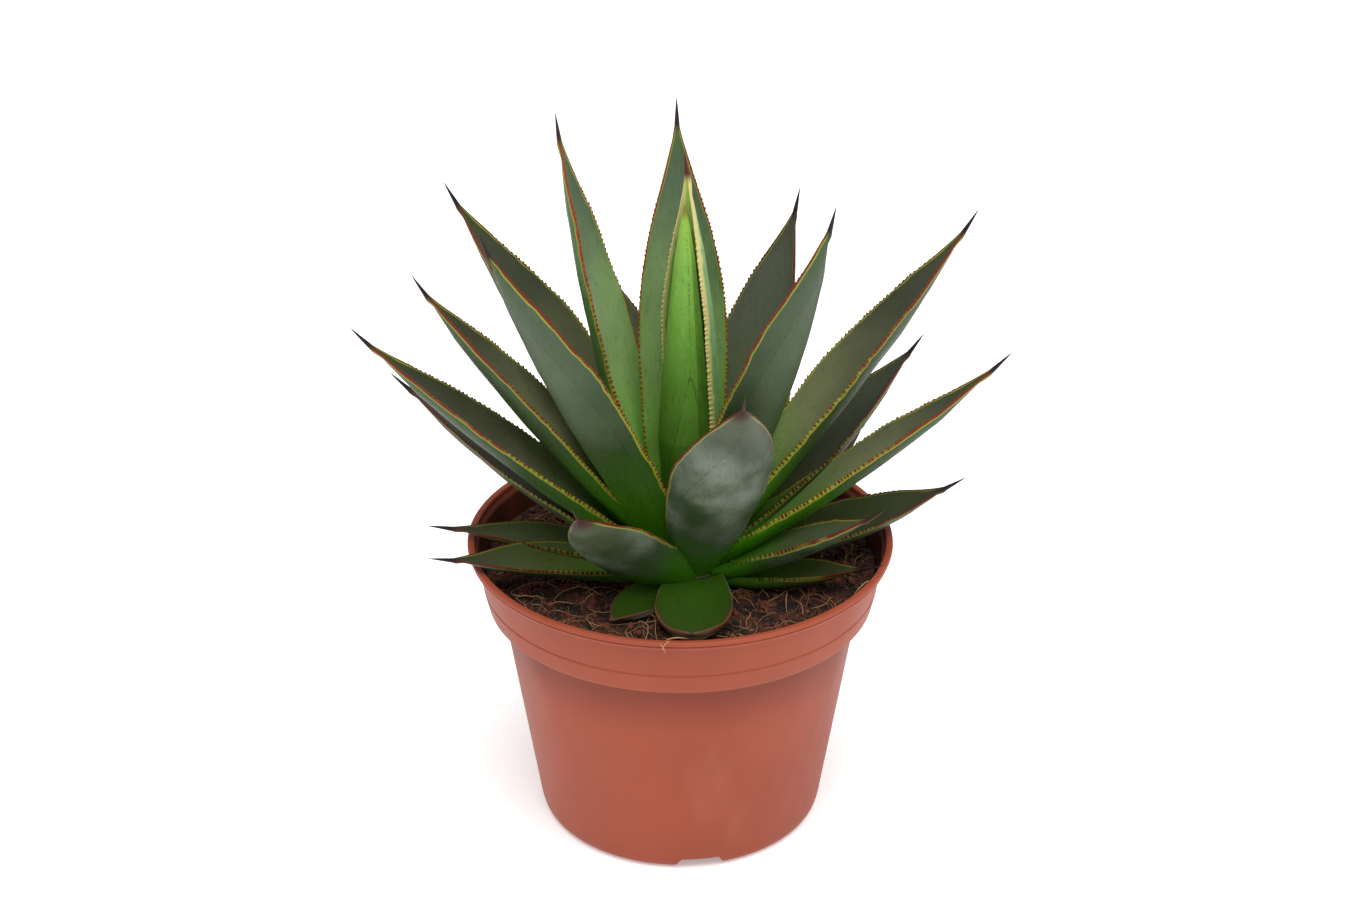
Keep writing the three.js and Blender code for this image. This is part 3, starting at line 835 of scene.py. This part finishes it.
def leaf_frames(leaf, s):
    """The midline and its three directions at each share s of the length.

    The slope goes evenly from rise_foot to rise_tip, and a curl adds to it
    near the tip. The midline is the running sum of small steps along the slope.
    """
    curled = leaf["curl"] * np.clip((s - CURL_START) / (1 - CURL_START), 0, 1) ** 2
    slope = np.radians(mix(leaf["rise_foot"], leaf["rise_tip"], s) + curled)[:, None]
    heading = np.radians(leaf["azimuth"])
    outward = np.array([np.cos(heading), np.sin(heading), 0])
    upward = np.array([0, 0, 1])
    along = outward * np.cos(slope) + upward * np.sin(slope)
    over = upward * np.cos(slope) - outward * np.sin(slope)
    side = np.array([-np.sin(heading), np.cos(heading), 0]) + 0 * slope
    step = np.diff(s)[:, None] * leaf["length"] * (along[1:] + along[:-1]) / 2
    start = np.array([*stem_axis(leaf["height"]), leaf["height"]]) + outward * leaf["radius"]
    centre = start + np.concatenate([np.zeros((1, 3)), np.cumsum(step, axis=0)])
    roll = np.radians(leaf["roll"])
    over, side = (np.cos(roll) * over + np.sin(roll) * side, np.cos(roll) * side - np.sin(roll) * over)
    return centre, along, over, side


print("width near a plain leaf's tip:", round(float(blade_width(0.9, 0.5, 0.62, 1.25)), 3))

# %% [markdown]
# ## Teeth
#
# Small hooked teeth stand along both margins about two millimetres apart.
# Copies of a modelled tooth would have to be joined to the blade. It is
# simpler to let the margin itself swell out: each tooth is a slow rise and a
# quick fall, so it leans towards the tip. Near the tip and at the foot the
# teeth fade away, as they do on the plant.

# %% Tooth profile
TOOTH_GAP = 2.0
TOOTH_HEIGHT = 0.75
TOOTH_LEAN = 0.45
TOOTH_RISE = 0.9
TOOTH_FALL = 0.4


def toothed_edge(distance, length, source):
    """How far each tooth stands out, from 0 to about 1, at distances along a margin.

    Teeth stand at jittered steps. A tooth's height rises in a straight line
    up to its point and falls faster behind it. Where two meet, the taller wins.
    """
    count = int(length / TOOTH_GAP) + 4
    points = np.cumsum(TOOTH_GAP * source.uniform(0.65, 1.35, count)) - TOOTH_GAP
    tall = source.uniform(0.55, 1.15, count)
    following = np.clip(np.searchsorted(points, distance), 1, count - 1)
    ahead = points[following] - distance
    behind = distance - points[following - 1]
    rising = tall[following] * np.clip(1 - ahead / TOOTH_RISE, 0, 1)
    falling = tall[following - 1] * np.clip(1 - behind / TOOTH_FALL, 0, 1)
    fade = smooth(length - distance, 20, 42) * smooth(distance, 4, 16)
    return np.maximum(rising, falling) * fade


sample = toothed_edge(np.arange(0, 150, 0.36), 150, np.random.default_rng(1))
peaks = (sample[1:-1] > sample[:-2]) & (sample[1:-1] > sample[2:])
print("teeth on a 150 mm margin:", int(np.sum(peaks)))

# %% [markdown]
# ## The leaf surface
#
# Each section is part of a ring. The upper face is an arc, the under face is
# the same arc pushed out by the thickness, and one point on each side rounds
# the margin between them. Besides its place, each point carries numbers that
# the finish will read: how far it is from the margin, the foot and the tip,
# which face it is on, whether it is on a tooth, and how far it is from the
# outline that a neighbour has printed on it in the bud. On a leaf with a short
# spine the distance from the tip is stretched, so the dark colour of the
# spine ends where the spine does.

# %% Leaf piece
ACROSS = np.array([1, 0.975, 0.93, 0.86, 0.74, 0.58, 0.38, 0.17, 0, -0.17, -0.38, -0.58, -0.74,
                   -0.86, -0.93, -0.975, -1])


def leaf_thickness(s, half, across):
    """Thick along the middle, thin at the margins, and round in the spine.

    Along the leaf the middle thins as the share left to the tip, raised to 1.3.
    Across it, a part falls as one minus the square of across, raised to 0.6,
    and the edge's own thickness stays.
    """
    full = MIDDLE_THICKNESS * (1 - s) ** 1.3 + TIP_THICKNESS * np.minimum(1, (1 - s) / 0.1)
    full = full * np.minimum(1, half / 8)
    spine = 1.5 * np.minimum(half, SPINE_RADIUS) * (1 - smooth(half, 0.9, 2.6))
    edge = EDGE_THICKNESS * np.minimum(1, half / 3)
    return (full + spine) * (1 - across ** 2) ** 0.6 + edge


def leaf_surface(leaf, seed):
    """The grid of points of one leaf and the numbers that its points carry.

    From the midline a point goes sideways by a radius times the sine of its
    angle, and over by the plain radius minus that radius times the cosine. The
    under face's radius is longer by the thickness. Noise then lifts the blade,
    and teeth push its margins out and a little along.
    """
    source = np.random.default_rng(seed)
    length, fold = leaf["length"], leaf["fold"]
    rows = int(length / STATION_STEP)
    s = np.linspace(0, 1, rows) * (1 - 0.4 / length)
    centre, along, over, side = leaf_frames(leaf, s)
    distance = s * length

    spine_share = leaf["spine"] / length
    bare = SPINE_OUTSIDE_BLADE * spine_share
    on_blade = 1 - np.maximum(0, (1 - s - bare) / (1 - bare))
    taper = np.clip((1 - s) / spine_share, 0, 1) ** 0.8
    half = leaf["half_width"] * blade_width(on_blade, leaf["widest"], leaf["neck"], leaf["pointing"])
    half = np.maximum(half, SPINE_RADIUS * taper)
    drift = np.stack([distance, 0 * s + seed * 17.0, 0 * s], axis=1)
    body = smooth(half, 2, 9)
    half = half * (1 + 0.035 * (value_noise(drift, 16, seed) - 0.5) * body)

    across = np.concatenate([ACROSS, [-1], ACROSS[::-1], [1]])
    face = np.concatenate([0 * ACROSS, [0.5], 0 * ACROSS + 1, [0.5]])
    margin = np.concatenate([0 * ACROSS, [1], 0 * ACROSS, [1]])
    v, under, rim = across[None, :], face[None, :], margin[None, :]
    angle = fold * v
    radius = (half / fold)[:, None]
    depth = radius + leaf_thickness(s[:, None], half[:, None], v) * under

    wave = leaf["wave"] * (value_noise(drift, 11, seed + 50) - 0.5)[:, None] * np.abs(v) ** 3 * np.sign(v)
    ripple = leaf["wave"] * (value_noise(drift, 23, seed + 90) - 0.5)[:, None] * v ** 2
    skin = np.stack(np.broadcast_arrays(distance[:, None], v * half[:, None], seed * 29.0), axis=-1)
    dents = 0.9 * (value_noise(skin, 19, seed + 3) - 0.5) + 0.2 * (value_noise(skin, 6, seed + 4) - 0.5)
    lift = (2.0 * (wave + ripple) + dents) * body[:, None]

    teeth = np.where(v > 0, toothed_edge(distance, length, source)[:, None],
                     toothed_edge(distance, length, source)[:, None])
    near_edge = smooth(np.abs(v), 0.965, 1.0)
    tooth = teeth * near_edge
    out = tooth * TOOTH_HEIGHT + rim * RIM_SWELL * np.minimum(1, half / 3)[:, None]
    tangent = np.cos(angle)[..., None] * side[:, None] + np.sin(angle)[..., None] * over[:, None]
    grid = (centre[:, None]
            + side[:, None] * (depth * np.sin(angle))[..., None]
            + over[:, None] * (radius - depth * np.cos(angle) + lift)[..., None]
            + tangent * (np.sign(v) * out)[..., None]
            + along[:, None] * (TOOTH_LEAN * tooth * TOOTH_HEIGHT)[..., None])

    # The horny band's width varies along the leaf and grows towards the tip. A
    # margin value counts bands inwards from the edge, so 1 is the band's inner side.
    edge_mm = (1 - np.abs(v)) * half[:, None]
    from_tip = (1 - s[:, None]) * length
    noise = value_noise(np.stack([distance, 0 * s, 0 * s + seed * 3.0], axis=1), 3.5, seed + 7)[:, None]
    band = 0.18 + 0.2 * noise + 0.35 * np.exp(-from_tip / 20)
    band = band * leaf["horn_width"] * np.minimum(1, half[:, None] / 4 + 0.15)
    unbroken = smooth(s[:, None] + 0.25 * (noise - 0.5), 0.3, 0.75)
    # The print is the outline of a leaf that is narrower and shorter than this one.
    print_width = 0.74 * leaf["half_width"] * blade_width(np.minimum(1.22 * s, 1), 0.5, 0.5, 1.1)
    flat = np.ones_like(v) * np.ones_like(s[:, None])
    plain_foot = 3 * (1 - smooth(distance, 10, 34))[:, None]
    values = {
        "margin": edge_mm / band + plain_foot,
        "foot_mm": distance[:, None] * flat,
        "tip_mm": from_tip * flat * LEAF_DEFAULTS["spine"] / leaf["spine"],
        "face": under * flat,
        "tooth": tooth * flat,
        "horn": np.maximum(teeth * 1.6, unbroken) * flat,
        "imprint_mm": np.abs(v) * half[:, None] - print_width[:, None],
    }
    blade = np.stack([v * half[:, None], distance[:, None] * flat], axis=-1) / 100
    foot = centre[0] + over[0] * (radius[0, 0] - depth[0].mean() * 0.9)
    tip = centre[-1] + along[-1] * 0.4
    return grid, (foot, tip), values, blade


print("points round a leaf's section:", 2 * len(ACROSS) + 2)

# %% [markdown]
# ## The leaf finish
#
# A living leaf is not one green. From the foot outwards it goes from a bright
# yellow-green to a greyed green, the two faces differ, and a thin wax makes
# pale clouds. The margin is a red-brown horny line with a yellow line inside
# it, and the spine is nearly black. One recipe takes all of that as arguments,
# so that a tender inner leaf and a tired outer leaf differ only in their
# colours, their wax and their gloss.

# %% Leaf finish
def leaf_finish(name, upper, upper_tip, under, under_tip, foot, bloom, horn, line, spine, collar,
                wax=0.4, foot_reach=50, middle=60, gloss=0.42):
    """The recipe for a leaf: faces, foot, wax, imprint, margin, teeth, spine."""
    finish, tree, shader = new_finish(name)
    blade = tree.nodes.new("ShaderNodeUVMap")
    blade.uv_map = "blade"
    place = object_space(tree)
    foot_mm, tip_mm = attribute(tree, "foot_mm"), attribute(tree, "tip_mm")
    face, margin = attribute(tree, "face"), attribute(tree, "margin")
    imprint = attribute(tree, "imprint_mm")

    streaks = grain(tree, blade.outputs["UV"], 60, 4, (4.0, 0.22, 1))
    clouds = grain(tree, place, 38, 4)
    flecks = grain(tree, place, 420, 4)
    drift = calculate(tree, "MULTIPLY", clouds, 34)

    near = calculate(tree, "ADD", foot_mm, drift)
    above = blend(tree, rise(tree, near, middle - 10, middle + 80), upper, upper_tip)
    below = blend(tree, rise(tree, near, middle + 20, middle + 90), under, under_tip)
    colour = blend(tree, face, above, below)
    reach = rise(tree, near, middle, middle + 70, 0.15, 1)
    reach = calculate(tree, "MULTIPLY", reach, rise(tree, face, 0, 1, 0.25, 1))
    bloom_and_painted_shade = calculate(tree, "MULTIPLY", rise(tree, clouds, 0.35, 0.72, 0, wax), reach)
    colour = blend(tree, bloom_and_painted_shade, colour, bloom)
    colour = blend(tree, rise(tree, streaks, 0.35, 0.7, 0, 0.45), colour,
                   blend(tree, 0.5, colour, (40, 58, 24)))
    colour = blend(tree, rise(tree, near, foot_reach * 0.5, foot_reach + 34, 1, 0), colour, foot)
    colour = blend(tree, rise(tree, flecks, 0.58, 0.72, 0, 0.22), colour, (30, 36, 16))

    stamped = calculate(tree, "MULTIPLY", face, rise(tree, foot_mm, 12, 30))
    inner = calculate(tree, "MULTIPLY", rise(tree, imprint, -0.5, 0.6), stamped)
    colour = blend(tree, calculate(tree, "MULTIPLY", inner, 0.22), colour,
                   blend(tree, 0.5, colour, (22, 52, 22)))
    trace = calculate(tree, "MULTIPLY", rise(tree, calculate(tree, "ABSOLUTE", imprint), 0.1, 0.4, 1, 0),
                      stamped)
    dots = rise(tree, grain(tree, blade.outputs["UV"], 90, 1, (0.1, 1, 1)), 0.4, 0.62, 0.05, 0.55)
    colour = blend(tree, calculate(tree, "MULTIPLY", trace, dots), colour, (28, 44, 16))

    neck = rise(tree, tip_mm, 12, 34, 0.6, 0)
    colour = blend(tree, neck, colour, collar)
    edge_line = rise(tree, margin, 1.5, 3.0, 0.9, 0)
    colour = blend(tree, edge_line, colour, line)
    horny = calculate(tree, "MULTIPLY", rise(tree, margin, 0.9, 1.3, 1, 0), attribute(tree, "horn"))
    colour = blend(tree, horny, colour, horn)
    colour = blend(tree, rise(tree, attribute(tree, "tooth"), 0.15, 0.6), colour, horn)
    colour = blend(tree, rise(tree, tip_mm, 9.5, 14.5, 1, 0), colour, spine)

    roughness = rise(tree, clouds, 0.3, 0.7, gloss - 0.04, gloss + 0.18)
    skin = calculate(tree, "ADD", streaks, calculate(tree, "MULTIPLY", flecks, 0.5))
    coat(tree, shader, colour, roughness, bump(tree, skin, 0.4, 0.5))
    feed(tree, shader.inputs["Specular IOR Level"], rise(tree, near, 45, 125, 0.08, 0.24))
    return finish


# Every colour is given as on a screen, 0 to 255.
SPINE_BROWN = (34, 18, 16)
FINISH_TABLE = {
    "rolled": dict(
        upper=(128, 176, 66), upper_tip=(128, 176, 66), under=(126, 186, 68),
        under_tip=(146, 202, 86), foot=(64, 104, 26), bloom=(146, 190, 96), horn=(150, 180, 70),
        line=(150, 180, 70), spine=(128, 120, 50), collar=(150, 190, 60), wax=0.25, foot_reach=88),
    "tender": dict(
        upper=(150, 176, 84), upper_tip=(140, 180, 90), under=(136, 186, 114),
        under_tip=(144, 192, 124), foot=(124, 170, 60), bloom=(150, 184, 140), horn=(220, 202, 138),
        line=(208, 210, 120), spine=(96, 40, 28), collar=(162, 200, 60), wax=0.4),
    "young": dict(
        upper=(160, 194, 122), upper_tip=(78, 96, 76), under=(84, 120, 60), under_tip=(84, 110, 64),
        foot=(144, 204, 78), bloom=(146, 176, 126), horn=(138, 58, 28), line=(150, 164, 58),
        spine=(46, 26, 20), collar=(70, 100, 30), wax=0.35, foot_reach=72, middle=92),
    "grown": dict(
        upper=(132, 136, 96), upper_tip=(60, 62, 45), under=(44, 64, 24), under_tip=(74, 90, 66),
        foot=(70, 134, 10), bloom=(96, 112, 88), horn=(112, 34, 18), line=(146, 158, 48),
        spine=SPINE_BROWN, collar=(56, 78, 28), wax=0.36, foot_reach=56, middle=66),
    "dusky": dict(
        upper=(90, 98, 68), upper_tip=(80, 84, 70), under=(58, 66, 46), under_tip=(66, 74, 60),
        foot=(88, 122, 40), bloom=(100, 104, 92), horn=(84, 32, 20), line=(122, 126, 48),
        spine=SPINE_BROWN, collar=(54, 58, 38), wax=0.4, foot_reach=40),
    "waxy": dict(
        upper=(84, 94, 60), upper_tip=(76, 84, 58), under=(40, 56, 30), under_tip=(62, 74, 56),
        foot=(72, 138, 16), bloom=(130, 142, 126), horn=(92, 28, 20), line=(130, 138, 56),
        spine=(60, 32, 26), collar=(76, 78, 58), wax=0.8, foot_reach=24, middle=30, gloss=0.32),
    "aged": dict(
        upper=(74, 88, 40), upper_tip=(58, 64, 38), under=(60, 72, 48), under_tip=(72, 80, 64),
        foot=(66, 116, 22), bloom=(90, 98, 84), horn=(78, 30, 18), line=(110, 114, 42),
        spine=SPINE_BROWN, collar=(50, 46, 28), wax=0.35, foot_reach=28, middle=44),
    "tongue": dict(
        upper=(56, 86, 22), upper_tip=(48, 64, 20), under=(190, 200, 178),
        under_tip=(206, 212, 196), foot=(64, 108, 24), bloom=(84, 96, 64), horn=(104, 70, 48),
        line=(72, 62, 28), spine=(96, 80, 62), collar=(66, 62, 28), wax=0.2, foot_reach=14,
        middle=24),
}
FINISHES = {name: leaf_finish(f"{name}_leaf", **parts) for name, parts in FINISH_TABLE.items()}
print("leaf finishes:", len(FINISHES))

# %% [markdown]
# ## The rosette
#
# The leaves stand in a spiral, the youngest upright in the middle and the
# oldest lying low. Each row of the table is one leaf, from the youngest
# to the oldest: where it points, how steeply it rises at the foot and at the
# tip, its length and its half width, then what sets it apart. The CAD model
# uses the same numbers, so each surface lands on its own CAD piece. Only the
# last leaf has a slimmer neck here and starts a little lower, so that none of
# it shows through its neighbour.

# %% Leaf table
LEAVES = [
    (50, 90, 98, 165, 15, dict(radius=10, fold=1.3, horn_width=1.7, finish="tender")),
    (98, 86, 82, 176, 18.5, dict(radius=9, finish="young")),
    (163, 71, 81, 179, 17, dict(finish="young")),
    (317, 63, 73, 174, 19, dict(radius=7)),
    (221, 56, 65, 180, 21, dict()),
    (9, 47, 57, 170, 18, dict()),
    (160, 57, 56, 166, 20, dict()),
    (52, 56, 70, 143, 18, dict(finish="dusky")),
    (284, 47, 66, 126, 21, dict(height=120, widest=0.42, neck=0.42, pointing=0.85, finish="waxy")),
    (186, 46, 57, 152, 20, dict(radius=9)),
    (120, 52, 60, 125, 17, dict(finish="dusky")),
    (356, 31, 46, 145, 13, dict(radius=9, height=121)),
    (92, 32, 46, 125, 18, dict(radius=9, height=121, finish="dusky")),
    (184, 35, 46, 157, 16, dict(radius=10, height=120)),
    (24, 31, 47, 120, 17, dict(radius=9, height=121, finish="dusky")),
    (232, 20, 60, 85, 17, dict(radius=10, height=118, widest=0.45, roll=-30, pointing=0.8,
                               finish="waxy")),
    (68, 26, 38, 120, 17, dict(radius=10, height=119)),
    (140, 14, 28, 84, 16, dict(radius=10, height=119)),
    (170, 27, 40, 133, 17, dict(radius=11, height=117, fold=0.5, finish="dusky")),
    (338, 18, 40, 79, 12, dict(radius=10, height=118, finish="waxy")),
    (112, 24, 34, 116, 16, dict(radius=10, height=118)),
    (45, 10, 26, 102, 15, dict(radius=11, height=117, finish="aged")),
    (13, 4, 24, 103, 15, dict(radius=12, height=117, finish="aged")),
    (152, 9, 17, 62, 13, dict(radius=12, height=116, finish="aged")),
    (190, 8, 8, 95, 13, dict(radius=12, height=116, fold=0.5, neck=0.5, finish="aged")),
    (173, 13, 1, 98, 10, dict(radius=12, height=115, fold=0.5, neck=0.4, finish="aged")),
    (86, 6, 20, 98, 15, dict(radius=12, height=116, finish="aged")),
    (345, 4, 18, 64, 9, dict(radius=12, height=115, fold=0.5, finish="aged")),
    (122, 5, 18, 96, 14, dict(radius=12, height=115, finish="aged")),
    (268, -8, 8, 52, 16, dict(radius=12, height=116, widest=0.5, neck=0.7, spine=3, pointing=0.6,
                              curl=58, horn_width=2.6, finish="tongue")),
    (228, -4, 4, 38, 10, dict(radius=14, height=114.2, neck=0.3, spine=3, pointing=0.7,
                              finish="tongue")),
]
FORM = ("azimuth", "rise_foot", "rise_tip", "length", "half_width")

# %% Grow the leaves
leaf_volume = 0.0
for number, (*form, extras) in enumerate(LEAVES, start=1):
    leaf = {**LEAF_DEFAULTS, **dict(zip(FORM, form)), **extras}
    grid, ends, values, blade = leaf_surface(leaf, seed=number)
    name = f"leaf_{number:02d}"
    mesh, volume = grid_mesh(f"{name}_blade", grid, ends, values, blade)
    slot = "young_leaf" if number == 1 else "leaf"
    add_piece(f"{name}_blade", mesh, FINISHES[leaf["finish"]], slot, name)
    leaf_volume += volume
print("leaves:", len(LEAVES), "living tissue, cm3:", round(leaf_volume))

# %% [markdown]
# ## The spear
#
# The youngest leaves are still rolled together in a pointed cone. Its section
# is a spiral and not a circle: the outermost leaf overlaps itself, and its
# edge shows as a seam that runs up one side, with a second one in its shade.
# A cone whose radius steps down at those two seams shows the same thing.

# %% Spear
SPEAR_FOOT = np.array([2.5, -8.0, 124.3])
SPEAR_TIP = np.array([1.8, -11.0, 267.0])
SPEAR_SHARES = [0, 0.12, 0.33, 0.5, 0.67, 0.85, 0.94, 1]
SPEAR_RADII = [7, 9, 10.6, 9, 6.6, 4, 2, 0.3]
SEAM_AZIMUTH = np.radians(294)
SEAM_STEP = 0.09
WINDING = 0.07
PRINT_AT = 0.055
PRINT_TOP = 0.54
PRINT_SPREAD = 30


def spear_surface():
    """A cone wound once: the radius falls a little on the way round, and at two seams.

    The round starts at the outer seam, in front on the right, and seen from above it
    runs with the clock. A neighbour's print is a pointed arch: two lines that part
    below PRINT_TOP.
    """
    s = np.linspace(0, 0.998, 340)
    turn = np.linspace(0, 1, 96, endpoint=False)
    radius = np.interp(s, SPEAR_SHARES, SPEAR_RADII)[:, None]
    seam = SEAM_AZIMUTH + 0.25 * s[:, None]
    angle = seam - 2 * np.pi * turn
    tucked = SEAM_STEP * smooth(turn, 0.9, 0.92)
    wound = radius * (1 + SEAM_STEP / 2 - WINDING * turn - tucked)
    centre = mix(SPEAR_FOOT, SPEAR_TIP, s[:, None])
    grid = centre[:, None] + np.stack([wound * np.cos(angle), wound * np.sin(angle), 0 * wound], axis=-1)
    length = np.linalg.norm(SPEAR_TIP - SPEAR_FOOT)
    flat = np.ones_like(wound)
    across = np.abs(turn - PRINT_AT) * 2 * np.pi * radius
    values = {"margin": 9 * flat, "foot_mm": s[:, None] * length * flat, "horn": 0 * flat,
              "tip_mm": 8 + (1 - s[:, None]) * length * flat, "face": flat, "tooth": 0 * flat,
              "imprint_mm": across - PRINT_SPREAD * np.clip(PRINT_TOP - s[:, None], 0, 1)}
    blade = np.stack([turn * 2 * np.pi * radius, s[:, None] * length * flat], axis=-1) / 100
    return grid, (SPEAR_FOOT, SPEAR_TIP), values, blade


grid, ends, values, blade = spear_surface()
spear_mesh, volume = grid_mesh("spear_roll", grid, ends, values, blade)
add_piece("spear_roll", spear_mesh, FINISHES["rolled"], "young_leaf", "spear")
print("spear, cm3:", round(volume, 1))

# %% [markdown]
# ## The stem
#
# Only a little of the stem shows between the lowest leaves: a short, thick,
# ringed stump with the scars of leaves that have dropped. A turned
# surface with shallow rings and noise is enough.

# %% Stem
STEM_HEIGHTS = [98, 106, 113, 118, 122, 123.4]
STEM_RADII = [7, 11, 12.5, 10, 5, 1]
SCAR_STEP = 3.1


def stem_surface():
    """Rings about the leaning axis, each pushed in and out by scars and noise."""
    z = np.linspace(STEM_HEIGHTS[0], STEM_HEIGHTS[-1], 90)[:, None]
    angle = np.linspace(0, 2 * np.pi, 96, endpoint=False)[None, :]
    axis = np.array([stem_axis(height) for height in z.ravel()])[:, None]
    radius = np.interp(z, STEM_HEIGHTS, STEM_RADII)
    scars = 0.35 * np.sin(2 * np.pi * (z / SCAR_STEP + angle / np.pi))
    around = np.stack(np.broadcast_arrays(np.cos(angle), np.sin(angle), z / 12), axis=-1)
    radius = radius + scars + 0.8 * (value_noise(around, 0.4, 31) - 0.5)
    x = axis[..., 0] + radius * np.cos(angle)
    y = axis[..., 1] + radius * np.sin(angle)
    grid = np.stack([x, y, z + 0 * x], axis=-1)
    return grid, ((*stem_axis(98), 98), (*stem_axis(123.6), 123.6))


grid, ends = stem_surface()
stem_mesh, volume = grid_mesh("stem_stump", grid, ends)
stem_finish, tree, shader = new_finish("stem_bark")
place = object_space(tree)
bark = grain(tree, place, 260, 4, (1, 1, 3))
colour = blend(tree, rise(tree, bark, 0.35, 0.65), (70, 100, 30), (92, 92, 40))
coat(tree, shader, colour, rise(tree, bark, 0.3, 0.7, 0.55, 0.8), bump(tree, bark, 0.4, 0.6))
add_piece("stem_stump", stem_mesh, stem_finish, "stem", "stem")
print("stem, cm3:", round(volume, 1))
